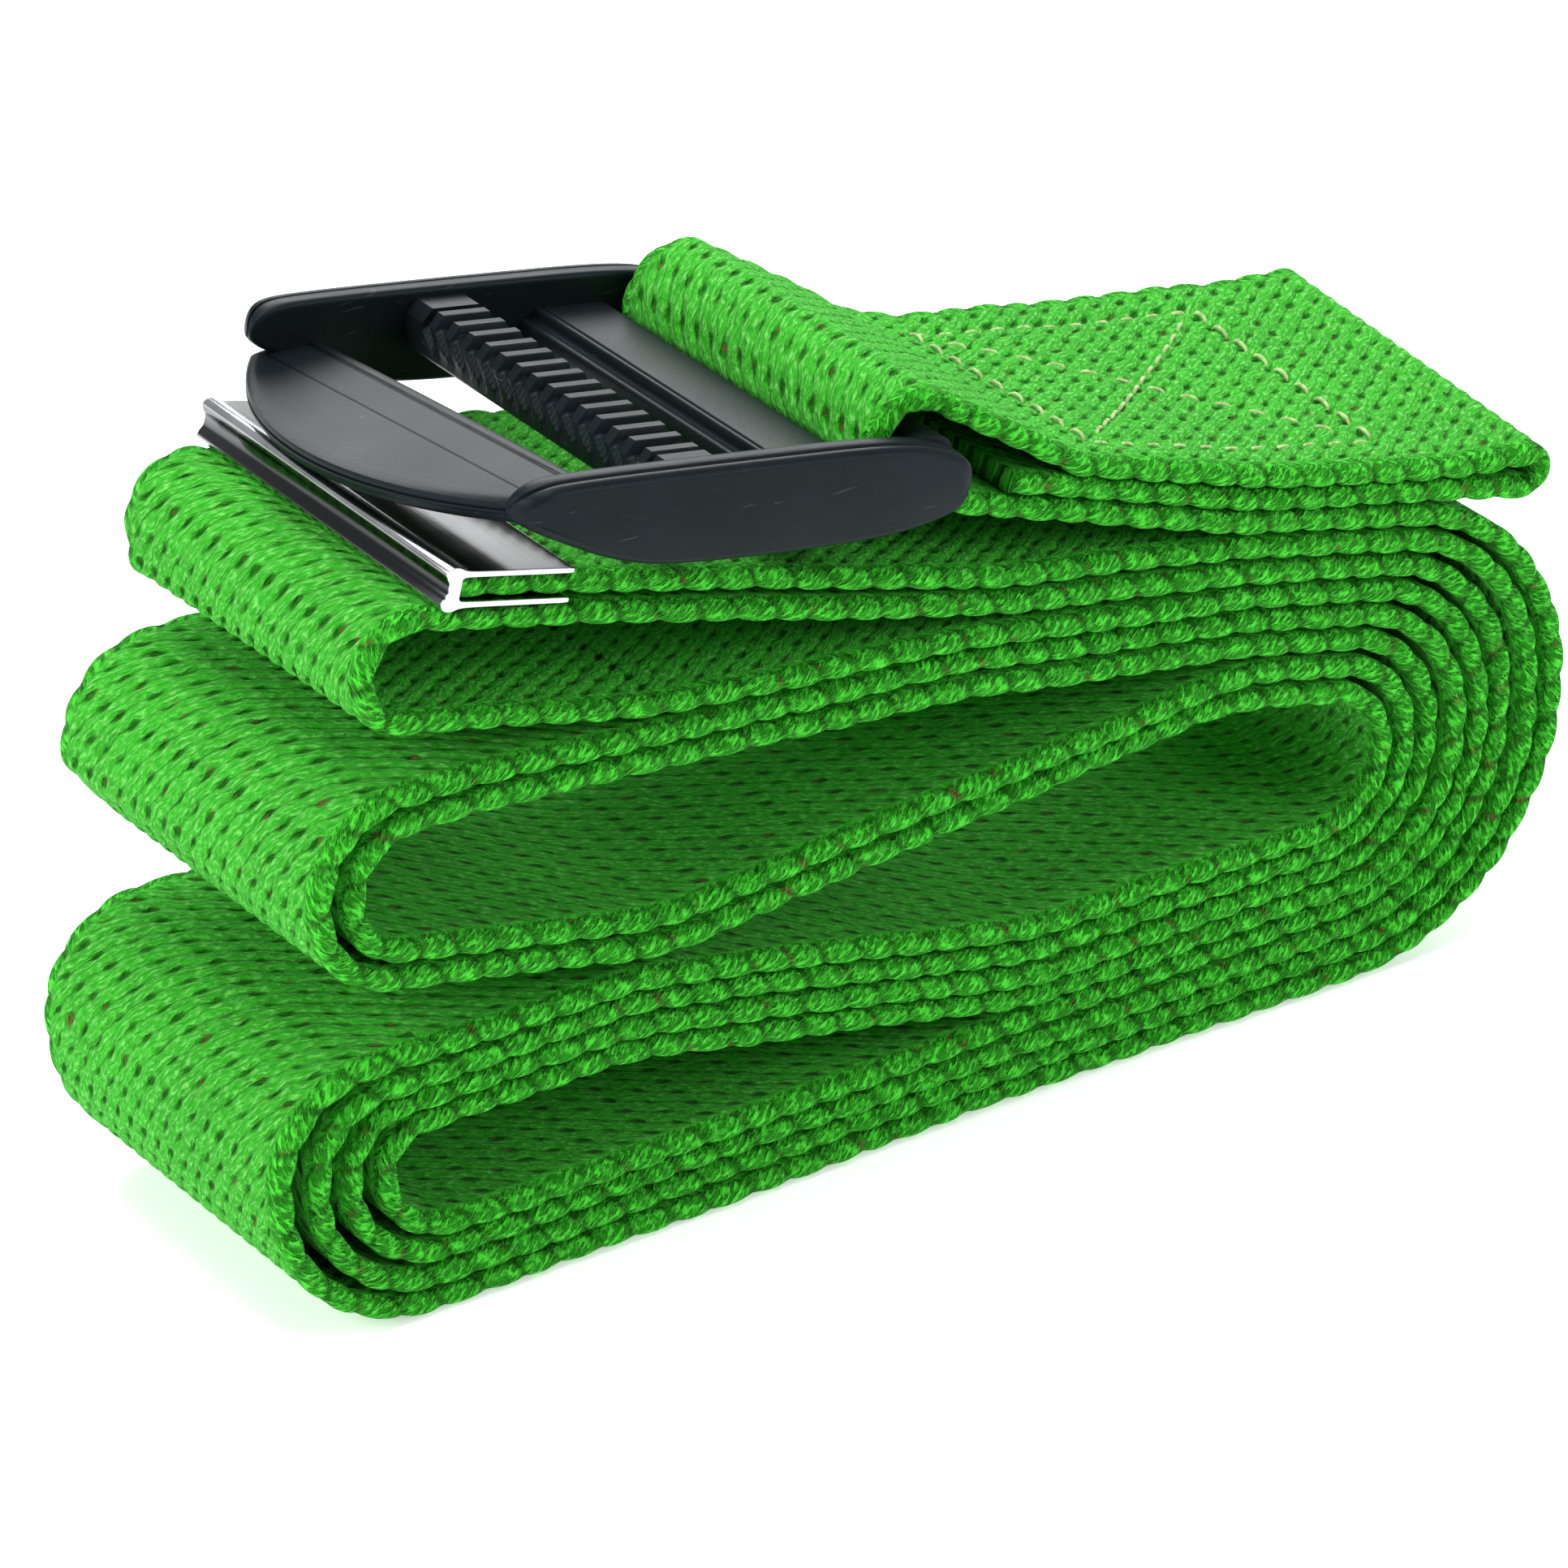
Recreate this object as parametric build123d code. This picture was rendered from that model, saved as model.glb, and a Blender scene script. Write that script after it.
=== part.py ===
"""Yoga stretching strap, folded flat into a serpentine bundle, with a ladder-lock cinch buckle.

Frame: millimetres, +Z up, the underside of the bottom run on z = 0.
X runs along the bundle, Y across the width of the webbing, and the buckle lies at the top, -X end.

Pieces, one node each:
  webbing        one length of cotton webbing, raw tail to free end, extruded from one folded route
  buckle_frame   one-piece ladder-lock moulding with its thumb tab
  end_tip        folded sheet-metal tip crimped over the free end
  needle_thread  upper thread of the box-and-cross lockstitch, seen on the top of the hem
  bobbin_thread  lower thread of the same lockstitch, seen under the hem
"""
from build123d import *
from math import atan2, cos, degrees, hypot, radians, sin, tan
import os

# Webbing
WEB_WIDTH = 38.0
WEB_THICK = 2.0
HALF_THICK = WEB_THICK / 2
PITCH_LOWER = 2.25      # runs 9 to 16, centre to centre
PITCH_UPPER = 2.4       # runs 1 to 8, centre to centre
PITCH_HEM = 2.15        # the three sewn layers
LOWER_TOP_X = 80.0      # right-hand end of every base line before it is cut at its turn
PILE_LEFT_X = -80.0     # left-hand end of every base line before it is cut at its turn

# Right-hand turns: run i joins run 17 - i, pair 8 is the innermost
SHOULDER_X = 30.0       # the upper runs start down towards the right-hand turns here
SHOULDER_Z = 32.0       # underside of run 8 there
SHOULDER_SLOPE = 13.4   # degrees down to the right
RIGHT_INNER_X = 46.3
RIGHT_STEP_X = 2.85

# Left-hand turns
LOBE_LOW_X = -68.7      # outermost turn of the lower lobe, runs 9 and 16
LOBE_LOW_STEP_X = 3.4
LOBE_LOW_SHARE = 0.62   # the floor-side arc of these turns is the larger one
LOBE_LOW_Z = 17.2       # underside of run 12 in the lobe
LOBE_MID_OUTER_X = -64.3
LOBE_MID_INNER_X = -61.2
LOBE_MID_Z = 46.4       # underside of run 6 in the lobe
LOBE_TOP_X = -59.5
TURN_FILL = 0.97        # share of the height of a turn that its two arcs take up

# Hem and buckle loop
PIVOT_X = -5.0          # axis of the rear bar
PIVOT_Z = 67.0
LOOP_RADIUS = 4.5       # middle of the webbing round the rear bar
HEM_TAIL_X = 5.0        # raw end inside the hem
HEM_RISE_X = 12.3       # the top layer leaves the hem for the loop here
HEM_FOLD_X = 63.6
HEM_FOLD_OPEN = 1.1     # extra height of the fold over the flat hem
FREE_END_X = -51.0
TIP_LIFT = 0.55         # the free end is raised by the thickness of the lower tip plate

# Bend radii along the runs
BEND_SOFT = 30.0
BEND_MEDIUM = 14.0
BEND_TIGHT = 6.0

# End tip
TIP_SHEET = 0.55
TIP_DEPTH = 11.0
TIP_WIDTH = 38.6
TIP_BEAD_RADIUS = 1.85
TIP_EDGE_RADIUS = 0.2

# Box-and-cross stitching on the hem, measured along the top layer
BOX_LENGTH = 33.0
BOX_WIDTH = 27.0
BOX_START = 4.0         # from the corner where the top layer rises
STITCH_PITCH = 3.1
STITCH_LENGTH = 2.5
THREAD_DIAMETER = 0.7
THREAD_PROUD = 0.25

# Buckle, in its own frame: origin on the rear bar, +X away from the tab
BUCKLE_TILT = 9.6       # degrees, the tab end higher
RAIL_INNER = 39.6       # between the side rails
RAIL_THICK = 3.0
RAIL_TOP = 2.7
RAIL_BOTTOM = -6.0
RAIL_TAIL_X = 3.6
RAIL_NOSE_X = -42.2
NOSE_TOP = 2.0
NOSE_ROUND = 2.4
REAR_BAR = 4.2
REAR_BAR_ROUND = 1.2
WIDE_BAR_START = -6.4
WIDE_BAR_END = -15.0
WIDE_BAR_TOP = -0.1
WIDE_BAR_THICK = 3.0
LEDGE_DEPTH = 1.4
LEDGE_STEP = 1.0
TOOTHED_START = -21.0
TOOTHED_END = -26.7
TOOTHED_TOP = 0.9
TOOTHED_THICK = 3.6
TOOTH_COUNT = 14
TOOTH_PITCH = 2.45
TOOTH_WIDTH = 1.5
TOOTH_HEIGHT = 0.9
PAD_WIDTH = 2.6
TAB_EDGE_X = -35.0
TAB_REACH = 14.4
TAB_SIDE_REACH = 6.4    # reach of the curved edge where it meets the rails
TAB_THICK = 2.4
TAB_TOP = 0.6
TAB_DROOP = 9.5         # degrees, the curved edge lower
TAB_TWIST = 4.5         # degrees, the +Y side lower, where the tab rests on the end tip
TAB_RIM = 0.8

os.makedirs("parts", exist_ok=True)


def offset_corners(points, distance):
    """Corner points of the parallel line that lies to the left of the direction of travel."""
    moved = []
    for index, (x, z) in enumerate(points):
        before = points[max(index - 1, 0)]
        after = points[min(index + 1, len(points) - 1)]
        first = atan2(z - before[1], x - before[0])
        second = atan2(after[1] - z, after[0] - x)
        if index == 0:
            first = second
        if index == len(points) - 1:
            second = first
        middle = (first + bend_angle(first, second) / 2) if index else second
        reach = distance / cos(bend_angle(first, second) / 2)
        moved.append((x - reach * sin(middle), z + reach * cos(middle)))
    return moved


def bend_angle(first, second):
    """Signed turn from one direction to the next, positive to the left."""
    turn = second - first
    while turn > radians(180):
        turn -= radians(360)
    while turn < -radians(180):
        turn += radians(360)
    return turn


def height_at(start, end, x):
    """Height of the line through two points at a given x."""
    return start[1] + (end[1] - start[1]) * (x - start[0]) / (end[0] - start[0])


def run_line(base, lift, left_x, right_x):
    """One run: its base line raised squarely by lift, then cut or extended to end at two x values."""
    line = offset_corners(base, lift)
    inner = [point for point in line[1:-1] if left_x < point[0] < right_x]
    left = (left_x, height_at(line[0], line[1], left_x))
    right = (right_x, height_at(line[-2], line[-1], right_x))
    return [left] + inner + [right]


def shoulder_base(level, lead_in):
    """Base line of an upper run: its own lead-in, then the shared shoulder and slope to the right."""
    rise = level * PITCH_UPPER / cos(radians(SHOULDER_SLOPE))
    fall = (LOWER_TOP_X - SHOULDER_X) * tan(radians(SHOULDER_SLOPE))
    shoulder = (SHOULDER_X, SHOULDER_Z + rise)
    return lead_in + [shoulder, (LOWER_TOP_X, SHOULDER_Z + rise - fall)]


def all_runs():
    """Middle line of every run from left to right, by run number counted from the top."""
    floor = [(PILE_LEFT_X, 0.0), (LOWER_TOP_X, 0.0)]
    low_stack = 4 * PITCH_LOWER
    low_mid = [
        (PILE_LEFT_X, LOBE_LOW_Z),
        (-34.0, LOBE_LOW_Z + 0.2),
        (7.0, low_stack),
        (LOWER_TOP_X, low_stack),
    ]
    base_8 = shoulder_base(0, [(PILE_LEFT_X, 37.0), (-31.0, 26.5)])
    base_6 = shoulder_base(2, [(PILE_LEFT_X, LOBE_MID_Z), (-50.0, LOBE_MID_Z), (0.0, 41.9)])
    base_4 = shoulder_base(4, [(PILE_LEFT_X, 60.9), (-33.0, 49.9), (0.0, 46.8)])
    base_3 = shoulder_base(5, [(PILE_LEFT_X, 70.8), (-40.0, 60.9), (4.0, 48.9)])

    right = {i: RIGHT_INNER_X + (8 - i) * RIGHT_STEP_X for i in range(1, 9)}
    low = {i: LOBE_LOW_X + i * LOBE_LOW_STEP_X for i in range(4)}
    runs = {}
    for i in range(4):
        runs[16 - i] = run_line(floor, HALF_THICK + i * PITCH_LOWER, low[i], right[i + 1])
        lift = HALF_THICK + (3 - i) * PITCH_LOWER
        runs[9 + i] = run_line(low_mid, lift, low[i], right[8 - i])
    runs[8] = run_line(base_8, HALF_THICK, LOBE_MID_OUTER_X, right[8])
    runs[7] = run_line(base_8, HALF_THICK + PITCH_UPPER, LOBE_MID_INNER_X, right[7])
    runs[6] = run_line(base_6, HALF_THICK, LOBE_MID_INNER_X, right[6])
    runs[5] = run_line(base_6, HALF_THICK + PITCH_UPPER, LOBE_MID_OUTER_X, right[5])
    runs[4] = run_line(base_4, HALF_THICK, LOBE_TOP_X, right[4])
    runs[3] = run_line(base_3, HALF_THICK, LOBE_TOP_X, right[3])
    runs[2] = run_line(base_3, HALF_THICK + PITCH_UPPER, FREE_END_X, right[2])
    for index in range(2):
        x, z = runs[2][index]
        runs[2][index] = (x, z + TIP_LIFT)
    return runs


def tangent_slope(point, side):
    """Angle of the line from a point to the loop circle, above (+1) or below (-1) the rear bar."""
    across = point[0] - PIVOT_X
    up = PIVOT_Z - point[1]
    return atan2(up, across) + side * asin_ratio(LOOP_RADIUS, hypot(across, up))


def asin_ratio(opposite, hypotenuse):
    """Angle whose sine is the ratio of two lengths."""
    return atan2(opposite, (hypotenuse ** 2 - opposite ** 2) ** 0.5)


def hem_lines():
    """Middle lines of the sewn end: run 1 from the loop, the inner hem layer, and the top layer."""
    fall = tan(radians(SHOULDER_SLOPE))
    square = cos(radians(SHOULDER_SLOPE))
    start = (SHOULDER_X, SHOULDER_Z + (HALF_THICK + 7 * PITCH_UPPER) / square)
    slope_1 = tangent_slope(start, -1)
    loop_x = PIVOT_X - LOOP_RADIUS
    loop_low = (loop_x, start[1] + (start[0] - loop_x) * tan(slope_1))
    right_1 = RIGHT_INNER_X + 7 * RIGHT_STEP_X
    run_1 = [loop_low, start, (right_1, start[1] - (right_1 - start[0]) * fall)]
    inner = offset_corners(run_1, PITCH_HEM)
    tail = (HEM_TAIL_X, height_at(inner[0], inner[1], HEM_TAIL_X))
    fold_low = (HEM_FOLD_X, height_at(inner[1], inner[2], HEM_FOLD_X))
    top = offset_corners(run_1, 2 * PITCH_HEM)
    rise = (HEM_RISE_X, height_at(top[0], top[1], HEM_RISE_X))
    lift_x = HEM_FOLD_X - 4 * HEM_FOLD_OPEN * PITCH_HEM
    flat_end = (lift_x, height_at(top[1], top[2], lift_x))
    fold_high = (HEM_FOLD_X, height_at(top[1], top[2], HEM_FOLD_X) + HEM_FOLD_OPEN)
    slope_top = tangent_slope(rise, 1)
    loop_high = (loop_x, rise[1] + (rise[0] - loop_x) * tan(slope_top))
    return run_1, [tail, inner[1], fold_low], [fold_high, flat_end, top[1], rise, loop_high]


def turn_radii(before, first, second, after, share):
    """Radii of the two arcs of a turn, or equal ones if no share is given for the first arc."""
    halves = []
    for a, b, c in ((before, first, second), (first, second, after)):
        turn = bend_angle(atan2(b[1] - a[1], b[0] - a[0]), atan2(c[1] - b[1], c[0] - b[0]))
        halves.append(abs(tan(turn / 2)))
    height = TURN_FILL * hypot(second[0] - first[0], second[1] - first[1])
    if share is None:
        return [height / sum(halves)] * 2
    return [share * height / halves[0], (1 - share) * height / halves[1]]


def floor_share(first, second):
    """Share of a turn given to its first arc: uneven only in the lower lobe on the left."""
    lobe_right = LOBE_LOW_X + 4 * LOBE_LOW_STEP_X
    lobe_top = LOBE_LOW_Z + 4 * PITCH_LOWER
    if first[0] > lobe_right or max(first[1], second[1]) > lobe_top:
        return None
    return LOBE_LOW_SHARE if first[1] < second[1] else 1 - LOBE_LOW_SHARE


def folded_route():
    """Corner points and bend radii of the middle of the webbing, raw tail first, free end last."""
    runs = all_runs()
    run_1, inner, top = hem_lines()
    order = [16, 9, 8, 5, 12, 13, 4, 3, 14, 11, 6, 7, 10, 15, 2]
    points = inner + top + run_1
    radii = [0.0, BEND_SOFT, None, None, BEND_MEDIUM, BEND_SOFT, BEND_TIGHT, None, None, BEND_SOFT, None]
    rightwards = False
    for number in order:
        line = runs[number] if rightwards else runs[number][::-1]
        bends = [None] + [BEND_SOFT] * (len(line) - 2) + [None]
        points = points + line
        radii = radii + bends
        rightwards = not rightwards
    radii[-1] = 0.0
    index = 1
    while index < len(points) - 1:
        if radii[index] is None:
            pair = points[index - 1], points[index], points[index + 1], points[index + 2]
            radii[index:index + 2] = turn_radii(*pair, floor_share(pair[1], pair[2]))
            index += 1
        index += 1
    return points, radii


def rounded_edges(points, radii, shift):
    """Lines and tangent arcs of the route moved sideways by shift, and its two end points."""
    corners = offset_corners(points, shift)
    edges = []
    start = corners[0]
    for index in range(1, len(corners) - 1):
        a, b, c = points[index - 1], points[index], points[index + 1]
        into = atan2(b[1] - a[1], b[0] - a[0])
        turn = bend_angle(into, atan2(c[1] - b[1], c[0] - b[0]))
        if abs(degrees(turn)) < 0.05:
            continue
        side = 1 if turn > 0 else -1
        radius = radii[index] - side * shift
        reach = radius * abs(tan(turn / 2))
        x, z = corners[index]
        arc_start = (x - reach * cos(into), z - reach * sin(into))
        outward = into + turn
        arc_end = (x + reach * cos(outward), z + reach * sin(outward))
        middle = into + turn / 2
        depth = radius * (1 / cos(turn / 2) - 1)
        arc_middle = (x - side * depth * sin(middle), z + side * depth * cos(middle))
        edges.append(Line(to_plane(start), to_plane(arc_start)))
        edges.append(ThreePointArc(to_plane(arc_start), to_plane(arc_middle), to_plane(arc_end)))
        start = arc_end
    edges.append(Line(to_plane(start), to_plane(corners[-1])))
    return edges, corners[0], corners[-1]


def to_plane(point):
    """A point of the side view as a point in space on the plane Y = 0."""
    return (point[0], 0, point[1])


def webbing():
    """The whole strap: the outline of the folded route, extruded across its width."""
    points, radii = folded_route()
    left, left_start, left_end = rounded_edges(points, radii, HALF_THICK)
    right, right_start, right_end = rounded_edges(points, radii, -HALF_THICK)
    caps = [
        Line(to_plane(left_start), to_plane(right_start)),
        Line(to_plane(left_end), to_plane(right_end)),
    ]
    outline = Wire(left + right + caps)
    return extrude(Face(outline), amount=WEB_WIDTH / 2, dir=(0, 1, 0), both=True)


def route_length():
    """Length of the middle of the webbing along the route."""
    points, radii = folded_route()
    edges, start, end = rounded_edges(points, radii, 0.0)
    return sum(edge.length for edge in edges)


def tip_plane():
    """Frame on the free end: origin on the middle of the cut end, +X back along the webbing."""
    run_2 = all_runs()[2]
    (x, z), (next_x, next_z) = run_2[0], run_2[1]
    slope = degrees(atan2(next_z - z, next_x - x))
    return Location((x, 0, z), (0, -slope, 0))


def end_tip():
    """Sheet folded over the free end: two plates and a rolled bead along the closed end."""
    height = WEB_THICK + 2 * TIP_SHEET
    shell = Box(TIP_DEPTH, TIP_WIDTH, height, align=(Align.MIN, Align.CENTER, Align.CENTER))
    shell = fillet(shell.edges().filter_by(Axis.Y), TIP_EDGE_RADIUS)
    bead = Rot(90, 0, 0) * Cylinder(TIP_BEAD_RADIUS, TIP_WIDTH)
    pocket = Box(TIP_DEPTH + 1, TIP_WIDTH + 1, WEB_THICK, align=(Align.MIN, Align.CENTER, Align.CENTER))
    return tip_plane() * (shell + bead - pocket)


def stitch(length):
    """One visible stitch: a short round-ended length of thread along X."""
    body = Rot(0, 90, 0) * Cylinder(THREAD_DIAMETER / 2, length - THREAD_DIAMETER)
    for side in (-1, 1):
        body = body + Pos(side * (length - THREAD_DIAMETER) / 2, 0, 0) * Sphere(THREAD_DIAMETER / 2)
    return body


def stitch_line(start, end):
    """Evenly spaced stitches from one point to another in the plane of the hem."""
    across = end[0] - start[0]
    along = end[1] - start[1]
    length = hypot(across, along)
    count = max(round(length / STITCH_PITCH), 1)
    angle = degrees(atan2(along, across))
    placed = []
    for index in range(count):
        share = (index + 0.5) / count
        place = Pos(start[0] + share * across, start[1] + share * along, 0)
        placed.append(place * Rot(0, 0, angle) * stitch(STITCH_LENGTH))
    return placed


def box_and_cross():
    """All the stitches of the box and its two diagonals, centred on the origin."""
    x, y = BOX_LENGTH / 2, BOX_WIDTH / 2
    corners = [(-x, -y), (x, -y), (x, y), (-x, y)]
    stitches = []
    for index in range(4):
        stitches += stitch_line(corners[index], corners[(index + 1) % 4])
    inset = 1 - STITCH_PITCH / hypot(x, y)
    for side in (-1, 1):
        stitches += stitch_line((-x * inset, -side * y * inset), (x * inset, side * y * inset))
    return stitches


def bend_height(line, along):
    """Point and slope of a bent line at a distance along it from its first point."""
    for start, end in zip(line, line[1:]):
        length = hypot(end[0] - start[0], end[1] - start[1])
        if along <= length:
            share = along / length
            return (
                start[0] + share * (end[0] - start[0]),
                start[1] + share * (end[1] - start[1]),
                atan2(end[1] - start[1], end[0] - start[0]),
            )
        along -= length
    raise ValueError("the stitching runs off the end of the hem")


def thread_on(line, side):
    """The box and cross laid along a bent line, on its upper (+1) or lower (-1) face."""
    sunk = side * (HALF_THICK + THREAD_PROUD - THREAD_DIAMETER / 2)
    pieces = []
    for piece in box_and_cross():
        centre = piece.center()
        x, z, slope = bend_height(line, BOX_START + BOX_LENGTH / 2 + centre.X)
        flat = Pos(-centre.X, 0, sunk) * piece
        pieces.append(Location((x, 0, z), (0, -degrees(slope), 0)) * flat)
    return Compound(pieces)


def needle_thread():
    """Upper thread, on the top layer of the hem."""
    top = hem_lines()[2]
    return thread_on([top[3], top[2], top[1]], 1)


def bobbin_thread():
    """Lower thread, on the underside of run 1 below the same stitches."""
    run_1, inner, top = hem_lines()
    rise = top[3]
    start_x = rise[0] + 2 * PITCH_HEM * sin(atan2(run_1[1][1] - run_1[0][1], run_1[1][0] - run_1[0][0]))
    start = (start_x, height_at(run_1[0], run_1[1], start_x))
    return thread_on([start, run_1[1], run_1[2]], -1)


def side_rail(side):
    """One side rail of the buckle, on the -Y or +Y side: a long lens with a rounded nose."""
    outline = [
        (RAIL_TAIL_X, -1.2),
        (RAIL_TAIL_X - 1.6, -4.2),
        (RAIL_TAIL_X - 7.0, RAIL_BOTTOM + 0.4),
        (RAIL_TAIL_X - 14.0, RAIL_BOTTOM),
        (RAIL_NOSE_X + 18.0, RAIL_BOTTOM),
        (RAIL_NOSE_X + 10.5, RAIL_BOTTOM + 0.7),
        (RAIL_NOSE_X + 2.0, NOSE_TOP - 3.9),
        (RAIL_NOSE_X, NOSE_TOP - 2.6),
        (RAIL_NOSE_X, NOSE_TOP - 1.2),
        (RAIL_NOSE_X + 1.4, NOSE_TOP),
        (RAIL_NOSE_X + 4.5, RAIL_TOP),
        (-4.2, RAIL_TOP),
        (RAIL_TAIL_X - 3.0, RAIL_TOP - 1.3),
    ]
    face = Face(Wire.make_polygon([(x, 0, z) for x, z in outline]))
    rail = extrude(face, amount=RAIL_THICK / 2, dir=(0, 1, 0), both=True)
    rail = fillet(rail.edges().filter_by(GeomType.LINE), 0.5)
    length = RAIL_TAIL_X - RAIL_NOSE_X
    plan = Box(length, RAIL_THICK, 4 * RAIL_TOP - 2 * RAIL_BOTTOM)
    corner = plan.edges().filter_by(Axis.Z).sort_by(Axis.X)[:2].sort_by(Axis.Y)[-1 if side > 0 else 0]
    plan = Pos(RAIL_NOSE_X + length / 2, 0, 0) * fillet(corner, NOSE_ROUND)
    return Pos(0, side * (RAIL_INNER + RAIL_THICK) / 2, 0) * (rail & plan)


def cross_bar(start, end, top, thick, rounding):
    """A bar from rail to rail, between two x values, with its long edges rounded."""
    bar = Box(abs(end - start), RAIL_INNER + RAIL_THICK, thick)
    bar = fillet(bar.edges().filter_by(Axis.Y), rounding)
    return Pos((start + end) / 2, 0, top - thick / 2) * bar


def toothed_bar():
    """The bar that grips the webbing: a row of rounded ridges between two flat pads."""
    bar = cross_bar(TOOTHED_START, TOOTHED_END, TOOTHED_TOP, TOOTHED_THICK, 0.8)
    width = abs(TOOTHED_END - TOOTHED_START)
    middle = (TOOTHED_START + TOOTHED_END) / 2
    ridge = Box(width - 0.6, TOOTH_WIDTH, TOOTH_HEIGHT * 2)
    ridge = fillet(ridge.edges().filter_by(Axis.X), 0.5)
    for index in range(TOOTH_COUNT):
        y = (index - (TOOTH_COUNT - 1) / 2) * TOOTH_PITCH
        bar = bar + Pos(middle, y, TOOTHED_TOP) * ridge
    pad = Box(width - 0.6, PAD_WIDTH, TOOTH_HEIGHT * 2)
    for side in (-1, 1):
        bar = bar + Pos(middle, side * (RAIL_INNER - PAD_WIDTH + 1.0) / 2, TOOTHED_TOP) * pad
    return bar


def wide_bar():
    """The broad recessed bar, with a lower ledge along its side towards the tab."""
    bar = cross_bar(WIDE_BAR_START, WIDE_BAR_END + LEDGE_DEPTH, WIDE_BAR_TOP, WIDE_BAR_THICK, 0.7)
    ledge_top = WIDE_BAR_TOP - LEDGE_STEP
    ledge = cross_bar(WIDE_BAR_END + 3.0, WIDE_BAR_END, ledge_top, WIDE_BAR_THICK - LEDGE_STEP, 0.6)
    return bar + ledge


def thumb_tab():
    """D-shaped lift tab: one straight edge along the slot and one broad curved edge."""
    half = RAIL_INNER / 2 + 2.0
    outline = Wire([
        Line((0, -half, 0), (0, half, 0)),
        Line((0, half, 0), (-TAB_SIDE_REACH, half, 0)),
        ThreePointArc((-TAB_SIDE_REACH, half, 0), (-TAB_REACH, 0, 0), (-TAB_SIDE_REACH, -half, 0)),
        Line((-TAB_SIDE_REACH, -half, 0), (0, -half, 0)),
    ])
    plate = extrude(Face(outline), amount=TAB_THICK, dir=(0, 0, -1))
    rims = plate.edges().group_by(Axis.Z)
    plate = fillet(rims[-1] + rims[0], TAB_RIM)
    return Pos(TAB_EDGE_X, 0, TAB_TOP) * Rot(-TAB_TWIST, 0, 0) * Rot(0, -TAB_DROOP, 0) * plate


def buckle_frame():
    """The one-piece moulding: two rails, three cross bars and the tab."""
    body = side_rail(-1) + side_rail(1)
    body = body + cross_bar(-REAR_BAR / 2, REAR_BAR / 2, REAR_BAR / 2, REAR_BAR, REAR_BAR_ROUND)
    body = body + wide_bar()
    body = body + toothed_bar()
    body = body + thumb_tab()
    return Location((PIVOT_X, 0, PIVOT_Z), (0, BUCKLE_TILT, 0)) * body


export_step(webbing(), "parts/webbing.step")
export_step(buckle_frame(), "parts/buckle_frame.step")
export_step(end_tip(), "parts/end_tip.step")
export_step(needle_thread(), "parts/needle_thread.step")
export_step(bobbin_thread(), "parts/bobbin_thread.step")
print("webbing length along the route:", round(route_length(), 1), "mm")
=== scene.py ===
"""Yoga stretching strap folded into a flat bundle, with a ladder-lock buckle and a chromed end tip.

The webbing is one folded route, carried in the XZ plane and spread across Y. Lengths below are in
millimetres until a mesh is made, and every mesh is in metres.
"""
from math import atan2, cos, hypot, pi, radians, sin, tan

import bpy
import numpy as np
from bpy.props import FloatProperty, FloatVectorProperty, IntProperty, PointerProperty
from bpy.types import Operator, Panel, PropertyGroup
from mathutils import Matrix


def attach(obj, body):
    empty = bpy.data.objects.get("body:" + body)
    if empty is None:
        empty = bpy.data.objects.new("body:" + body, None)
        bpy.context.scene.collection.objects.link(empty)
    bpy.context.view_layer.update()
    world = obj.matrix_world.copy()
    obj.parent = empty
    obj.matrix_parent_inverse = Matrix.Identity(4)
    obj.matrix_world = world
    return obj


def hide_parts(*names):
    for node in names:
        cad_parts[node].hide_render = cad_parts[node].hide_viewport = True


bl_info = {
    "name": "Stretching strap",
    "version": (1, 0, 0),
    "blender": (4, 5, 0),
    "location": "View3D > Sidebar > Strap",
    "description": "Makes the folded webbing, its stitching, the buckle and the end tip",
    "category": "Add Mesh",
}

MM = 0.001

# Route of the webbing, as in the frame's own model
STRAP_WIDTH = 38.0
HALF_THICK = 1.0
PITCH_LOWER = 2.25
PITCH_UPPER = 2.4
PITCH_HEM = 2.15
PILE_RIGHT_X = 80.0
PILE_LEFT_X = -80.0
SHOULDER_X = 30.0
SHOULDER_Z = 32.0
SHOULDER_SLOPE = radians(13.4)
RIGHT_INNER_X = 46.3
RIGHT_STEP_X = 2.85
LOBE_LOW_X = -68.7
LOBE_LOW_STEP_X = 3.4
LOBE_LOW_SHARE = 0.62
LOBE_LOW_Z = 17.2
LOBE_MID_OUTER_X = -64.3
LOBE_MID_INNER_X = -61.2
LOBE_MID_Z = 46.4
LOBE_TOP_X = -59.5
TURN_FILL = 0.97
PIVOT_X = -5.0
PIVOT_Z = 67.0
LOOP_RADIUS = 4.5
HEM_TAIL_X = 5.0
HEM_RISE_X = 12.3
HEM_FOLD_X = 63.6
HEM_FOLD_OPEN = 1.1
FREE_END_X = -51.0
TIP_LIFT = 0.55
BEND_SOFT = 30.0
BEND_MEDIUM = 14.0
BEND_TIGHT = 6.0

# Stitching on the hem
BOX_LENGTH = 33.0
BOX_WIDTH = 27.0
BOX_START = 4.0

# Weave: the slits between the yarns, and how deep grooves and slits are as shares of the relief
SLIT_SLANT = radians(27.0)
SLIT_WIDE = 0.32
SLIT_LONG = 0.66
GROOVE_SHARE = 0.34
SLIT_SHARE = 0.66
WEAK_ROW = 0.70

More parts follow.
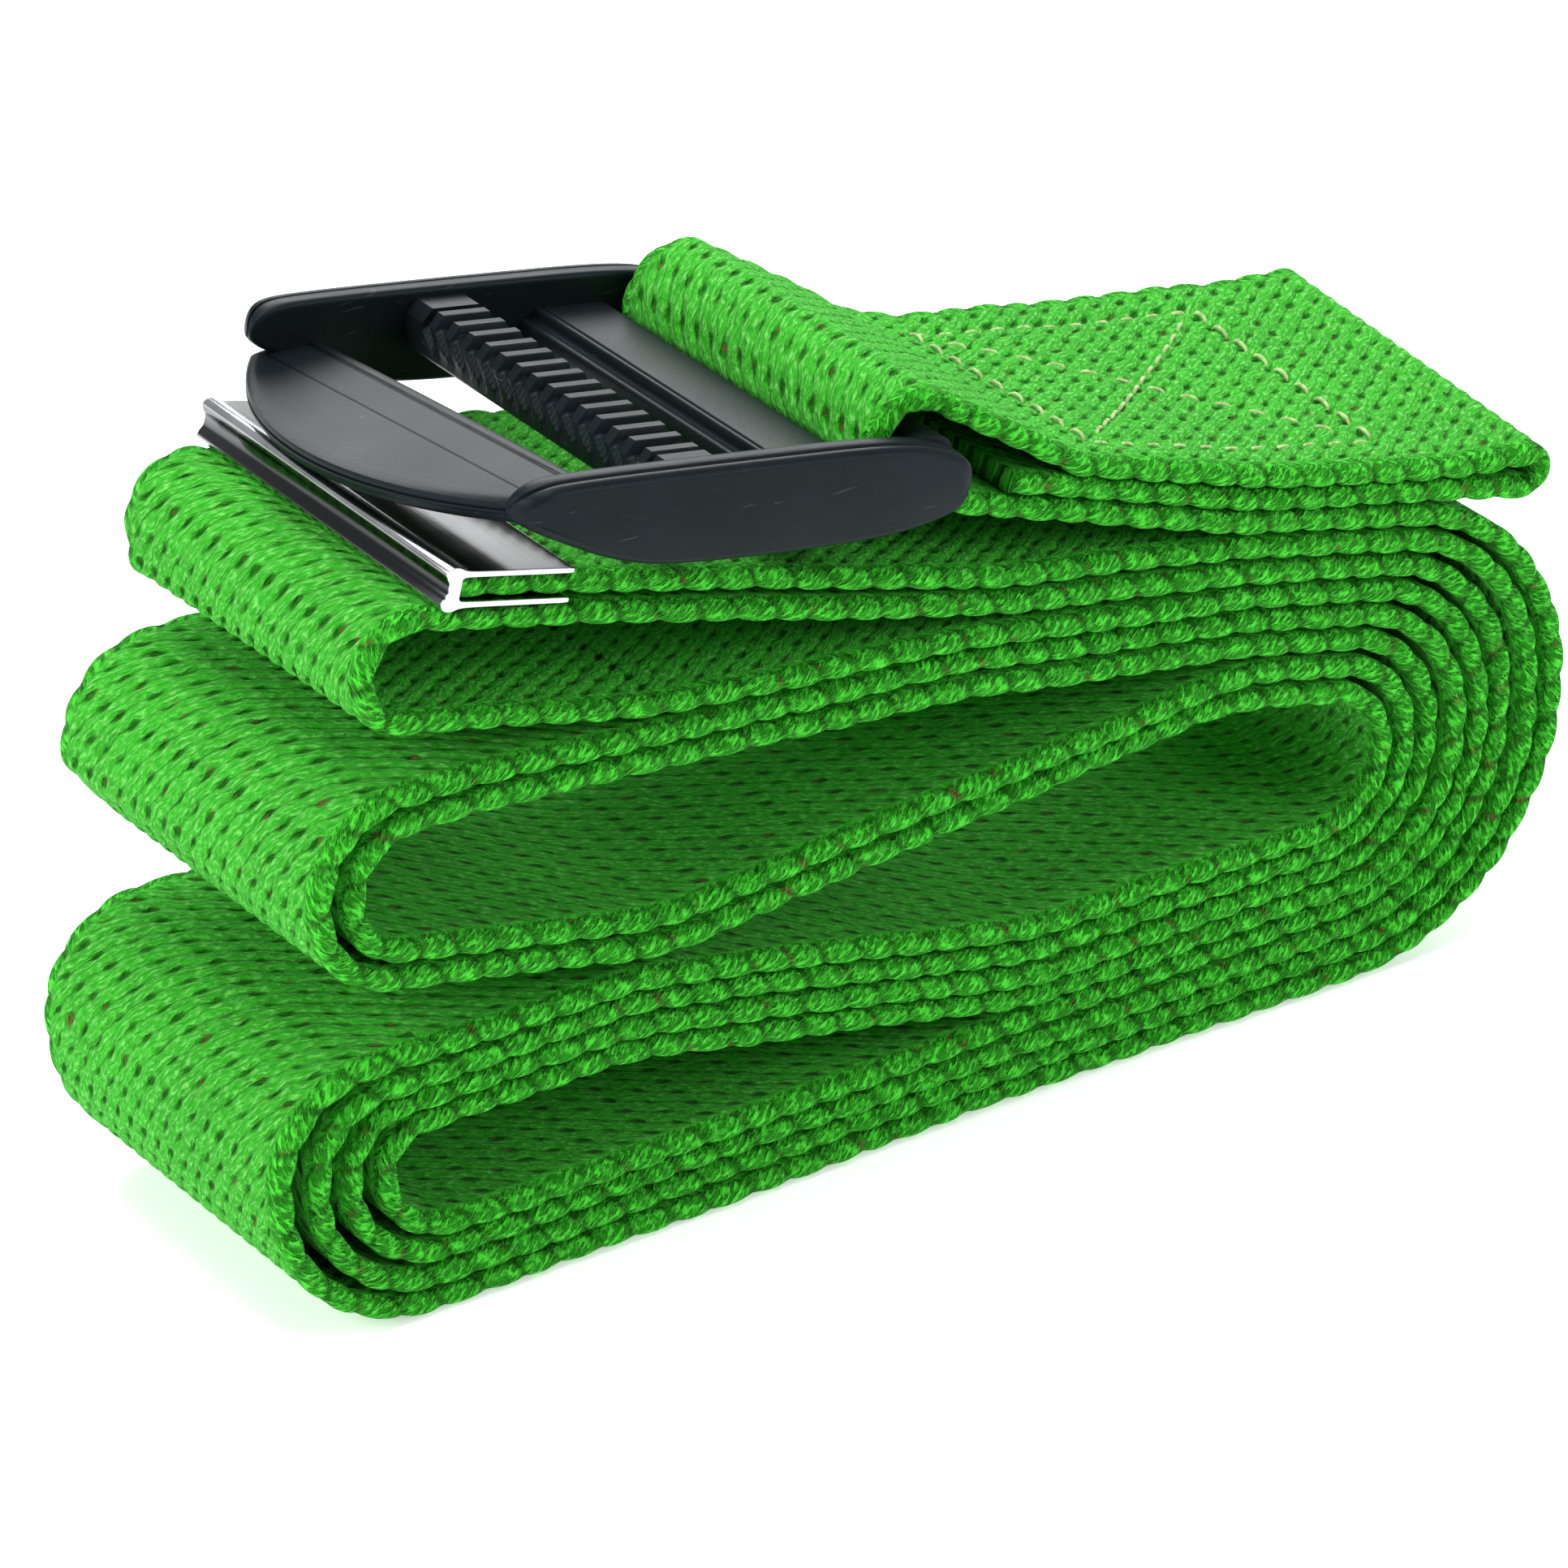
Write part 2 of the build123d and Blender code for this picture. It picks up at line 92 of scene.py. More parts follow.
# Lie of the bundle towards its far side
LEAN_MIDDLE = 2.6
LEAN_LOW = 0.3
LEAN_LOW_FAR = 0.8
HEM_BASE_RISE = 17.4
HEM_BASE_LEFT_SLOPE = 0.40
HEM_TWIST_X = [-12.0, -2.0, 8.0, 18.0, 30.0, 48.0, 66.0]
HEM_TWIST_LIFT = [0.4, 0.4, 0.2, -0.4, 1.6, 3.2, 3.6]

# Buckle, in its own axes: x from the rear bar towards the sewn end, v up; it tilts so that its tab's end is higher
BUCKLE_TILT = radians(9.6)
RAIL_INNER_Y = 19.8
RAIL_THICK = 3.0
BAR_REACH = 20.2
RIDGE_PITCH = 2.45
RIDGES_HALF = 7
TAB_HALF_WIDTH = 21.8
TAB_BULGE = 8.0
TAB_LENGTH = 14.4
TAB_ROOT_X = -35.0
TAB_ROOT_V = 0.6
TAB_DROOP = radians(9.5)
TAB_TWIST = radians(4.5)
SHARP_ANGLE = radians(38)

# What every fine length and every colour property has in common
FINE = {"subtype": "DISTANCE", "precision": 5}
PAINT = {"subtype": "COLOR", "min": 0, "max": 1}

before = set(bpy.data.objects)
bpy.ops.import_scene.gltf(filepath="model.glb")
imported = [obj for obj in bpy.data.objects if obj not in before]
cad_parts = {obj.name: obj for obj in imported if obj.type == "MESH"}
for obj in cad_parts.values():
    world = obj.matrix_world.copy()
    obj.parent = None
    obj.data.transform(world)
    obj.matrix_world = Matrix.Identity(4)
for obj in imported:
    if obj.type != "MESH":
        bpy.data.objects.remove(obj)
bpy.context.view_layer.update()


# ---------------------------------------------------------------- sizes and colours


class StrapSizes(PropertyGroup):
    width: FloatProperty(
        name="Width", description="Width of the webbing", default=STRAP_WIDTH * MM, subtype="DISTANCE"
    )
    column: FloatProperty(
        name="Yarn column", description="Distance across the webbing from one line of yarns to the next",
        default=2.18 * MM, **FINE,
    )
    columns: IntProperty(
        name="Columns", description="Number of yarn columns between the two selvages", default=16, min=1
    )
    row: FloatProperty(
        name="Yarn row", description="Distance along the webbing from one row of hollows to the next",
        default=2.83 * MM, **FINE,
    )
    relief: FloatProperty(
        name="Weave depth", description="Depth of the hollows between the yarns",
        default=0.42 * MM, **FINE,
    )
    bead: FloatProperty(
        name="Selvage pitch", description="Distance from one bead of the selvage to the next",
        default=3.95 * MM, **FINE,
    )
    bead_depth: FloatProperty(
        name="Selvage depth", description="Depth of the notches between the selvage beads",
        default=0.34 * MM, **FINE,
    )
    edge_strand: FloatProperty(
        name="Selvage yarn", description="Distance from one slanted yarn of the selvage to the next",
        default=0.66 * MM, **FINE,
    )
    fine_step: FloatProperty(
        name="Fine rows", description="Spacing of the mesh rows where the weave shows",
        default=0.4 * MM, **FINE,
    )
    plain_step: FloatProperty(
        name="Plain rows", description="Spacing of the mesh rows between the layers",
        default=0.56 * MM, **FINE,
    )
    stitch_pitch: FloatProperty(
        name="Stitch pitch", description="Distance from one stitch to the next",
        default=3.1 * MM, **FINE,
    )
    thread: FloatProperty(
        name="Thread", description="Diameter of the sewing thread",
        default=0.38 * MM, **FINE,
    )


class StrapColours(PropertyGroup):
    yarn: FloatVectorProperty(
        name="Yarn", description="Colour of the webbing on top of the yarn bumps",
        default=(0.047, 0.47, 0.026), **PAINT,
    )
    # Painted shade: the colour that the pits between the yarns and the notches of the selvage are darkened towards
    hollow_shade: FloatVectorProperty(
        name="Hollow", description="Colour of the webbing deep between the yarns",
        default=(0.010, 0.115, 0.003), **PAINT,
    )
    fleck: FloatVectorProperty(
        name="Fleck", description="Colour of the specks of undyed fibre",
        default=(0.16, 0.10, 0.03), **PAINT,
    )
    thread: FloatVectorProperty(
        name="Thread", description="Colour of the sewing thread",
        default=(0.52, 0.70, 0.27), **PAINT,
    )
    plastic: FloatVectorProperty(
        name="Plastic", description="Colour of the buckle",
        default=(0.0045, 0.0075, 0.0088), **PAINT,
    )
    chrome: FloatVectorProperty(
        name="Chrome", description="Colour of the end tip",
        default=(0.78, 0.79, 0.80), **PAINT,
    )


# ---------------------------------------------------------------- folded route


def bend_angle(first, second):
    """Signed turn from one heading to the next, positive to the left."""
    return (second - first + pi) % (2 * pi) - pi


def heading(a, b):
    """Heading of the line from a to b."""
    return atan2(b[1] - a[1], b[0] - a[0])


def offset_corners(points, distance):
    """Corner points of the parallel line to the left.

    Each point moves along the bisector of its corner by distance / cos(half the turn).
    """
    moved = []
    for index, (x, z) in enumerate(points):
        first = heading(points[max(index - 1, 0)], (x, z)) if index else heading((x, z), points[1])
        second = heading((x, z), points[index + 1]) if index < len(points) - 1 else first
        middle = first + bend_angle(first, second) / 2
        reach = distance / cos(bend_angle(first, second) / 2)
        moved.append((x - reach * sin(middle), z + reach * cos(middle)))
    return moved


def height_at(start, end, x):
    """Height of the line through two points at a given x."""
    return start[1] + (end[1] - start[1]) * (x - start[0]) / (end[0] - start[0])


def run_line(base, lift, left_x, right_x):
    """One run: its base line raised squarely by lift, then cut or extended to end at two x values."""
    line = offset_corners(base, lift)
    inner = [point for point in line[1:-1] if left_x < point[0] < right_x]
    left = (left_x, height_at(line[0], line[1], left_x))
    right = (right_x, height_at(line[-2], line[-1], right_x))
    return [left] + inner + [right]


def shoulder_base(level, lead_in):
    """Base line of an upper run: its own lead-in, then the shared shoulder and slope to the right."""
    rise = level * PITCH_UPPER / cos(SHOULDER_SLOPE)
    fall = (PILE_RIGHT_X - SHOULDER_X) * tan(SHOULDER_SLOPE)
    return lead_in + [(SHOULDER_X, SHOULDER_Z + rise), (PILE_RIGHT_X, SHOULDER_Z + rise - fall)]


def all_runs():
    """Middle line of every run from left to right, by run number counted from the top."""
    stack = 4 * PITCH_LOWER
    floor = [(PILE_LEFT_X, 0.0), (PILE_RIGHT_X, 0.0)]
    low_mid = [(PILE_LEFT_X, LOBE_LOW_Z), (-34.0, LOBE_LOW_Z + 0.2), (7.0, stack), (PILE_RIGHT_X, stack)]
    base_8 = shoulder_base(0, [(PILE_LEFT_X, 37.0), (-31.0, 26.5)])
    base_6 = shoulder_base(2, [(PILE_LEFT_X, LOBE_MID_Z), (-50.0, LOBE_MID_Z), (0.0, 41.9)])
    base_4 = shoulder_base(4, [(PILE_LEFT_X, 60.9), (-33.0, 49.9), (0.0, 46.8)])
    base_3 = shoulder_base(5, [(PILE_LEFT_X, 70.8), (-40.0, 60.9), (4.0, 48.9)])
    right = {i: RIGHT_INNER_X + (8 - i) * RIGHT_STEP_X for i in range(1, 9)}
    low = {i: LOBE_LOW_X + i * LOBE_LOW_STEP_X for i in range(4)}
    runs = {}
    for i in range(4):
        runs[16 - i] = run_line(floor, HALF_THICK + i * PITCH_LOWER, low[i], right[i + 1])
        runs[9 + i] = run_line(low_mid, HALF_THICK + (3 - i) * PITCH_LOWER, low[i], right[8 - i])
    upper = (
        (8, base_8, 0, LOBE_MID_OUTER_X), (7, base_8, 1, LOBE_MID_INNER_X), (6, base_6, 0, LOBE_MID_INNER_X),
        (5, base_6, 1, LOBE_MID_OUTER_X), (4, base_4, 0, LOBE_TOP_X), (3, base_3, 0, LOBE_TOP_X),
        (2, base_3, 1, FREE_END_X),
    )
    for number, base, layer, left_x in upper:
        runs[number] = run_line(base, HALF_THICK + layer * PITCH_UPPER, left_x, right[number])
    for index in range(2):
        runs[2][index] = (runs[2][index][0], runs[2][index][1] + TIP_LIFT)
    return runs


def tangent_slope(point, side):
    """Heading of the line from a point to the loop circle, above (+1) or below (-1) the rear bar."""
    across, up = point[0] - PIVOT_X, PIVOT_Z - point[1]
    away = hypot(across, up)
    return atan2(up, across) + side * atan2(LOOP_RADIUS, (away ** 2 - LOOP_RADIUS ** 2) ** 0.5)


def hem_lines():
    """Middle lines of the sewn end: run 1 from the loop, the inner hem layer, and the top layer."""
    start = (SHOULDER_X, SHOULDER_Z + (HALF_THICK + 7 * PITCH_UPPER) / cos(SHOULDER_SLOPE))
    slope = tangent_slope(start, -1)
    loop_x = PIVOT_X - LOOP_RADIUS
    loop_low = (loop_x, start[1] + (start[0] - loop_x) * tan(slope))
    right_1 = RIGHT_INNER_X + 7 * RIGHT_STEP_X
    run_1 = [loop_low, start, (right_1, start[1] - (right_1 - start[0]) * tan(SHOULDER_SLOPE))]
    inner = offset_corners(run_1, PITCH_HEM)
    tail = (HEM_TAIL_X, height_at(inner[0], inner[1], HEM_TAIL_X))
    fold_low = (HEM_FOLD_X, height_at(inner[1], inner[2], HEM_FOLD_X))
    top = offset_corners(run_1, 2 * PITCH_HEM)
    rise = (HEM_RISE_X, height_at(top[0], top[1], HEM_RISE_X))
    lift_x = HEM_FOLD_X - 4 * HEM_FOLD_OPEN * PITCH_HEM
    flat_end = (lift_x, height_at(top[1], top[2], lift_x))
    fold_high = (HEM_FOLD_X, height_at(top[1], top[2], HEM_FOLD_X) + HEM_FOLD_OPEN)
    loop_high = (loop_x, rise[1] + (rise[0] - loop_x) * tan(tangent_slope(rise, 1)))
    return run_1, [tail, inner[1], fold_low], [fold_high, flat_end, top[1], rise, loop_high]


def turn_radii(before, first, second, after):
    """Radii of the two arcs of a turn; the floor side of the lower lobe has the larger one."""
    halves = [
        abs(tan(bend_angle(heading(a, b), heading(b, c)) / 2))
        for a, b, c in ((before, first, second), (first, second, after))
    ]
    height = TURN_FILL * hypot(second[0] - first[0], second[1] - first[1])
    in_lobe = first[0] <= LOBE_LOW_X + 4 * LOBE_LOW_STEP_X
    if not in_lobe or max(first[1], second[1]) > LOBE_LOW_Z + 4 * PITCH_LOWER:
        return [height / sum(halves)] * 2
    share = LOBE_LOW_SHARE if first[1] < second[1] else 1 - LOBE_LOW_SHARE
    return [share * height / halves[0], (1 - share) * height / halves[1]]


def folded_route():
    """Corners and bend radii, raw tail first and free end last, and the place of each run's two ends."""
    runs = all_runs()
    run_1, inner, top = hem_lines()
    order = [16, 9, 8, 5, 12, 13, 4, 3, 14, 11, 6, 7, 10, 15, 2]
    points = inner + top + run_1
    radii = [0.0, BEND_SOFT, None, None, BEND_MEDIUM, BEND_SOFT, BEND_TIGHT, None, None, BEND_SOFT, None]
    ends = {1: (8, 10)}
    rightwards = False
    for number in order:
        line = runs[number] if rightwards else runs[number][::-1]
        ends[number] = (len(points), len(points) + len(line) - 1)
        points = points + line
        radii = radii + [None] + [BEND_SOFT] * (len(line) - 2) + [None]
        rightwards = not rightwards
    radii[-1] = 0.0
    index = 1
    while index < len(points) - 1:
        if radii[index] is None:
            radii[index:index + 2] = turn_radii(*points[index - 1:index + 3])
            index += 1
        index += 1
    return points, radii, ends


def route_spans():
    """The route as lines and arcs.

    Each span is (start x, start z, heading, curvature, length). Beside the spans come the distance along
    the route at which each begins, and the distance at the middle of each corner's arc.
    """
    points, radii, ends = folded_route()
    spans, corner_at = [], [0.0]
    place, travelled = points[0], 0.0
    for index in range(1, len(points) - 1):
        into = heading(points[index - 1], points[index])
        turn = bend_angle(into, heading(points[index], points[index + 1]))
        reach = radii[index] * abs(tan(turn / 2))
        x, z = points[index]
        begin = (x - reach * cos(into), z - reach * sin(into))
        run = hypot(begin[0] - place[0], begin[1] - place[1])
        spans.append((*place, into, 0.0, run))
        arc = radii[index] * abs(turn)
        spans.append((*begin, into, (turn / arc) if arc else 0.0, arc))
        corner_at.append(travelled + run + arc / 2)
        travelled += run + arc
        place = (x + reach * cos(into + turn), z + reach * sin(into + turn))
    last = hypot(points[-1][0] - place[0], points[-1][1] - place[1])
    spans.append((*place, heading(place, points[-1]), 0.0, last))
    corner_at.append(travelled + last)
    spans = np.array([span for span in spans if span[4] > 1e-6])
    return spans, np.concatenate([[0.0], np.cumsum(spans[:, 4])]), corner_at, ends


SPANS, SPAN_AT, CORNER_AT, RUN_ENDS = route_spans()
ROUTE_LENGTH = float(SPAN_AT[-1])


def on_route(s):
    """Place and heading at distances s along the route.

    On a span that starts at p with heading h and curvature k, a distance d further on lies at
    p + ((sin(h + k d) - sin h) / k, (cos h - cos(h + k d)) / k), and its heading is h + k d.
    """
    which = np.clip(np.searchsorted(SPAN_AT, s, side="right") - 1, 0, len(SPANS) - 1)
    x, z, turn, bend, _ = np.moveaxis(SPANS[which], -1, 0)
    d = s - SPAN_AT[which]
    bend = np.where(np.abs(bend) > 1e-7, bend, 1e-7)
    new = turn + bend * d
    return x + (np.sin(new) - np.sin(turn)) / bend, z + (np.cos(turn) - np.cos(new)) / bend, new


# ---------------------------------------------------------------- lie of the webbing


def ease(value, start, end):
    """Smooth step from 0 at start to 1 at end: t t (3 - 2 t)."""
    t = np.clip((value - start) / (end - start), 0.0, 1.0)
    return t * t * (3 - 2 * t)


def drift(s, wave, phase):
    """Slow irregular wander between -1 and 1: three sines whose wavelengths share no common multiple."""
    turn = 2 * pi * s / wave
    return (np.sin(turn + phase) + 0.6 * np.sin(1.73 * turn + 2.1 * phase) + 0.4 * np.sin(2.91 * turn)) / 2


def hem_base(x):
    """Height of the top of run 2 below the hem, which the hem's twist starts from."""
    slope = tan(SHOULDER_SLOPE)
    shoulder = SHOULDER_Z + HEM_BASE_RISE / cos(SHOULDER_SLOPE)
    return shoulder + (SHOULDER_X - x) * np.where(x < SHOULDER_X, HEM_BASE_LEFT_SLOPE, slope)


def settle(x, y, z):
    """Spatial lie of the bundle, the same for every layer, so that layers never cross.

    The lobes lean further left towards the far side, most in the middle lobe. The hem is higher on the
    far side, more so towards its fold, and its left end is a little lower there.
    """
    far = (y + STRAP_WIDTH / 2) / STRAP_WIDTH
    left = ease(x, -46.0, -62.0)
    middle_lobe = ease(z, 35.0, 41.0) * (1 - ease(z, 54.0, 60.0))
    low_lobe = 1 - ease(z, 34.0, 39.0)
    x = x - left * (LEAN_MIDDLE * far * middle_lobe + (LEAN_LOW + LEAN_LOW_FAR * far) * low_lobe)
    lift = np.interp(x, HEM_TWIST_X, HEM_TWIST_LIFT)
    z = z + lift * far * ease(z - hem_base(x), -0.5, 6.0) * ease(x, -12.0, 4.0)
    return x, z


def cloth_point(s, y, n):
    """Points of the webbing, at s along it, y across it, and n out of its middle to the left of travel."""
    x, z, turn = on_route(s)
    n = n + 0.1 * drift(s, 37.0, 0.4) * ease(s, 0.0, 3.0)
    calm = ease(np.abs(s - CORNER_AT[7]), 10.0, 30.0)
    side = y + 0.45 * drift(s, 143.0, 1.3) * calm
    x = x - n * np.sin(turn)
    z = z + n * np.cos(turn)
    x, z = settle(x, side, z)
    return np.stack([x, side, z], axis=-1) * MM


def selvage_share(y, sizes):
    """How much a point belongs to the corded edge: 0 on the yarn columns, 1 beyond them."""
    reach = sizes.columns * sizes.column / MM / 2
    return ease(np.abs(y), reach - 0.3, reach + 0.3)


def weave(y, s, sizes, fine):
    """Height of the yarn, 0 to 1.

    With g = y / column + s / row, the yarns lie side by side along whole g and a shallow groove runs along
    every half. Where a column meets a row there is a slit, exp(-(a / SLIT_WIDE)^2 - (b / SLIT_LONG)^2), with
    b along the slit and a across it, and SLIT_SLANT between the slit and the webbing's length. Every other
    row of slits is weaker.
    """
    if not fine:
        return np.full_like(y + s, 0.85)
    column, row = sizes.column / MM, sizes.row / MM
    g = y / column + s / row
    p = (y / column - np.floor(y / column) - 0.5) * column
    line = np.floor(s / row + 0.5)
    q = s - line * row
    a = p * cos(SLIT_SLANT) + q * sin(SLIT_SLANT)
    b = q * cos(SLIT_SLANT) - p * sin(SLIT_SLANT)
    strength = np.where(np.mod(line, 2) > 0.5, WEAK_ROW, 1.0)
    slit = np.exp(-((a / SLIT_WIDE) ** 2) - (b / SLIT_LONG) ** 2) * strength
    return 1 - GROOVE_SHARE * (1 - np.abs(np.cos(pi * g))) - SLIT_SHARE * slit


def bead(angle, s, sizes):
    """Height of the selvage beads, 0 to 1: |sin| of the distance along the edge, slanting a little round it."""
    phase = s / (sizes.bead / MM) - 0.10 * angle + 0.05 * np.sin(s * 0.71) + 0.07 * np.sin(s * 0.193)
    return np.abs(np.sin(pi * phase)) ** 0.6


def stitch_dent(s, y):
    """Depth to which the seam pulls the top layer down, a bell curve of the distance to the box and its cross."""
    middle = HEM_BOX_AT
    a = np.abs(s - middle) - BOX_LENGTH / 2
    b = np.abs(y) - BOX_WIDTH / 2
    box = np.where((a > 0) | (b > 0), np.hypot(np.maximum(a, 0), np.maximum(b, 0)), -np.maximum(a, b))
    diagonal = hypot(BOX_LENGTH, BOX_WIDTH)
    cross = np.abs(np.abs(y) * BOX_LENGTH - np.abs(s - middle) * BOX_WIDTH) / diagonal
    inside = (a < 0) & (b < 0)
    cross = np.where(inside, cross, 9.0)
    return 0.26 * np.exp(-((box / 0.9) ** 2)) + 0.16 * np.exp(-((cross / 0.8) ** 2))


HEM_BOX_AT = CORNER_AT[6] - BOX_START - BOX_LENGTH / 2


def ring(sizes, fine):
    """The webbing's cross-section as a closed ring of (y, n, angle), and each side's (from, to) across.

    Two flat faces and two rounded edges. angle runs from -pi/2 to pi/2 round each edge. Across is y on the
    faces, and goes on round the edges from one face to the other.
    """
    inner = sizes.width / MM / 2 - HALF_THICK
    column = sizes.column / MM
    reach = sizes.columns * column / 2
    flat = np.linspace(-reach, reach, sizes.columns * (6 if fine else 1) + 1)
    extra = np.array([0.24, inner - reach]) if fine else np.array([-0.4, 0.24, inner - reach])
    flat = np.unique(np.concatenate([flat, reach + extra, -reach - extra]).round(5))
    round_off = np.linspace(-pi / 2, pi / 2, 12)[1:-1]
    top = np.stack([flat, np.full_like(flat, HALF_THICK), np.full_like(flat, -pi / 2)], 1)
    far = np.stack([inner + np.cos(round_off), -np.sin(round_off), round_off], 1)
    under = np.stack([flat[::-1], np.full_like(flat, -HALF_THICK), np.full_like(flat, pi / 2)], 1)
    near = np.stack([-inner - np.cos(round_off), np.sin(round_off), -round_off], 1)
    loop = np.roll(np.concatenate([top, far, under, near]), len(round_off) // 2, axis=0)
    ahead = np.roll(loop, -1, axis=0)
    on_face = (np.abs(loop[:, 0]) <= inner + 1e-6) & (np.abs(ahead[:, 0]) <= inner + 1e-6)
    around = [np.sign(p[:, 0]) * (inner + (p[:, 2] + pi / 2) * HALF_THICK) for p in (loop, ahead)]
    across = [np.where(on_face, p[:, 0], turned) for p, turned in zip((loop, ahead), around)]
    return loop, across, len(flat) + len(round_off)


def build_mesh(name, points, faces, uv=None, values=None, caps=()):
    """A mesh object at the origin, from points, smooth four-sided faces, and flat caps of many sides."""
    mesh = bpy.data.meshes.new(name)
    mesh.vertices.add(len(points))
    mesh.vertices.foreach_set("co", np.asarray(points, np.float32).ravel())
    order = np.concatenate([faces.ravel(), *caps]).astype(np.int32)
    sides = np.array([4] * len(faces) + [len(cap) for cap in caps])
    mesh.loops.add(len(order))
    mesh.loops.foreach_set("vertex_index", order)
    mesh.polygons.add(len(sides))
    mesh.polygons.foreach_set("loop_start", (np.cumsum(sides) - sides).astype(np.int32))
    mesh.polygons.foreach_set("use_smooth", np.arange(len(sides)) < len(faces))
    mesh.update(calc_edges=True)
    if uv is not None:
        mesh.uv_layers.new(name="cloth").data.foreach_set("uv", np.asarray(uv, np.float32).ravel())
    for key, value in (values or {}).items():
        layer = mesh.attributes.new(key, "FLOAT", "POINT")
        layer.data.foreach_set("value", np.asarray(value, np.float32).ravel())
    mesh.validate()
    made = bpy.data.objects.new(name, mesh)
    bpy.context.scene.collection.objects.link(made)
    return made


def grid_faces(rows, columns):
    """Faces of a grid whose columns close into a ring. Which way they point depends on the ring's direction."""
    row, column = np.meshgrid(np.arange(rows - 1), np.arange(columns), indexing="ij")
    after = (column + 1) % columns
    low, high = row * columns, (row + 1) * columns
    return np.stack([low + column, low + after, high + after, high + column], -1).reshape(-1, 4)


def cap_faces(first, half_count, outward):
    """Faces across one end of the ring, joining each point to the one facing it, turned over unless outward."""
    index = np.arange(half_count - 1)
    last = 2 * half_count - 1
    quad = np.stack([index, last - index, last - index - 1, index + 1], -1) + first
    return quad if outward else quad[:, ::-1]


def webbing_stretch(name, start, end, fine, sizes):
    """One stretch of the webbing from distance start to end along the route, as a closed form.

    Each ring of the cross-section is carried along the route. Its faces carry the weave and its edges the
    corded selvage, both cut below the nominal surface, and the hem's top layer is drawn in by its seam.
    """
    step = (sizes.fine_step if fine else sizes.plain_step) / MM
    s = np.linspace(start, end, max(int((end - start) / step), 8))[:, None]
    loop, across, half_count = ring(sizes, fine)
    y, n, angle = (loop[:, i][None] + 0 * s for i in range(3))
    inner = sizes.width / MM / 2 - HALF_THICK
    edge = selvage_share(y, sizes)
    yarn = weave(y, s, sizes, fine)
    beads = bead(angle, s + np.where(y > 0, 1.7, 0.0), sizes)
    height = yarn * (1 - edge) + beads * edge
    notch = (1 - beads) * edge * sizes.bead_depth / MM
    cut = (1 - yarn) * (1 - edge) * sizes.relief / MM + notch
    out_y = np.where(np.abs(y) > inner, y - np.sign(y) * inner, 0.0)
    seam = np.where(n < 0, stitch_dent(s + 0 * y, y), 0.0)
    ragged = 0.14 * drift(s, 11.0, 0.8) * np.abs(out_y)
    points = cloth_point(
        s + 0 * y,
        y - out_y * cut + np.sign(y) * ragged,
        (n - n / HALF_THICK * cut) * (1 + 0.05 * edge) + seam,
    )
    rows, columns = len(s), len(loop)
    faces = grid_faces(rows, columns)
    caps = [cap_faces(0, half_count, True), cap_faces((rows - 1) * columns, half_count, False)]
    faces = np.concatenate([faces] + caps)
    low, high = across
    quad_u = np.stack([low, high, high, low], -1)[None].repeat(rows - 1, 0)
    quad_v = np.stack([s[:-1], s[:-1], s[1:], s[1:]], -1).repeat(columns, 1)
    uv = np.stack([quad_u, quad_v], -1).reshape(-1, 2)
    cap_u = np.concatenate([loop[:, 0][np.mod(cap, columns)] for cap in caps]).ravel()
    cap_v = np.concatenate([np.full(caps[0].size, start), np.full(caps[1].size, end)])
    uv = np.concatenate([uv, np.stack([cap_u, cap_v], -1)]) / 100
    # Along this ring the faces come out pointing inwards, so each one is turned over with its corners' places
    faces, uv = faces[:, ::-1], uv.reshape(-1, 4, 2)[:, ::-1]
    # The depth below the yarn tops is kept on the points; the cloth turns it into painted shade in the selvage
    # notches
    return build_mesh(name, points.reshape(-1, 3), faces, uv, {"hollow_shade": 1 - height, "selvage": edge})


def stretches():
    """Names and ends of the stretches, and whether their faces show and so carry the fine weave."""
    def near_turn(run, end, away):
        """Distance along the route at a run's first (0) or last (1) end, moved along by away."""
        return CORNER_AT[RUN_ENDS[run][end]] + away

    cuts = [
        ("hem_tail", 0.0, False),
        ("hem_top_and_loop", CORNER_AT[2] - 3.0, True),
        ("run_1", CORNER_AT[8] + 14.0, False),
        ("right_turn_outer", near_turn(1, 1, -8.0), True),
        ("run_16", near_turn(16, 0, 8.0), False),
        ("low_lobe_outer", near_turn(16, 1, -26.0), True),
        ("runs_9_and_8", near_turn(9, 0, 26.0), False),
        ("middle_lobe_outer", near_turn(8, 1, -30.0), True),
        ("runs_5_12_13_4", near_turn(5, 0, 30.0), False),
        ("top_lobe_outer", near_turn(4, 1, -28.0), True),
        ("runs_3_14_11_6", near_turn(3, 0, 28.0), False),
        ("runs_7_10_15", near_turn(7, 0, 1.0), False),
        ("free_end", ROUTE_LENGTH - 62.0, True),
    ]
    stops = [cut[1] for cut in cuts[1:]] + [ROUTE_LENGTH]
    return [("webbing_" + name, at, stop, fine) for (name, at, fine), stop in zip(cuts, stops)]


# ---------------------------------------------------------------- stitches


def stitch_places(pitch):
    """Middle (along, across) and direction of every stitch of the box and its diagonals, about its middle."""
    x, y = BOX_LENGTH / 2, BOX_WIDTH / 2
    corners = np.array([(-x, -y), (x, -y), (x, y), (-x, y)])
    lines = [(corners[i], corners[(i + 1) % 4]) for i in range(4)]
    inset = 1 - pitch / hypot(x, y)
    lines += [(-inset * corners[i], inset * corners[i]) for i in (1, 2)]
    placed = []
    for start, end in lines:
        count = round(float(np.hypot(*(end - start))) / pitch)
        share = (np.arange(count)[:, None] + 0.5) / count
        middle = start + share * (end - start)
        turn = np.full((count, 1), atan2(end[1] - start[1], end[0] - start[0]))
        placed.append(np.hstack([middle, turn]))
    return np.concatenate(placed)


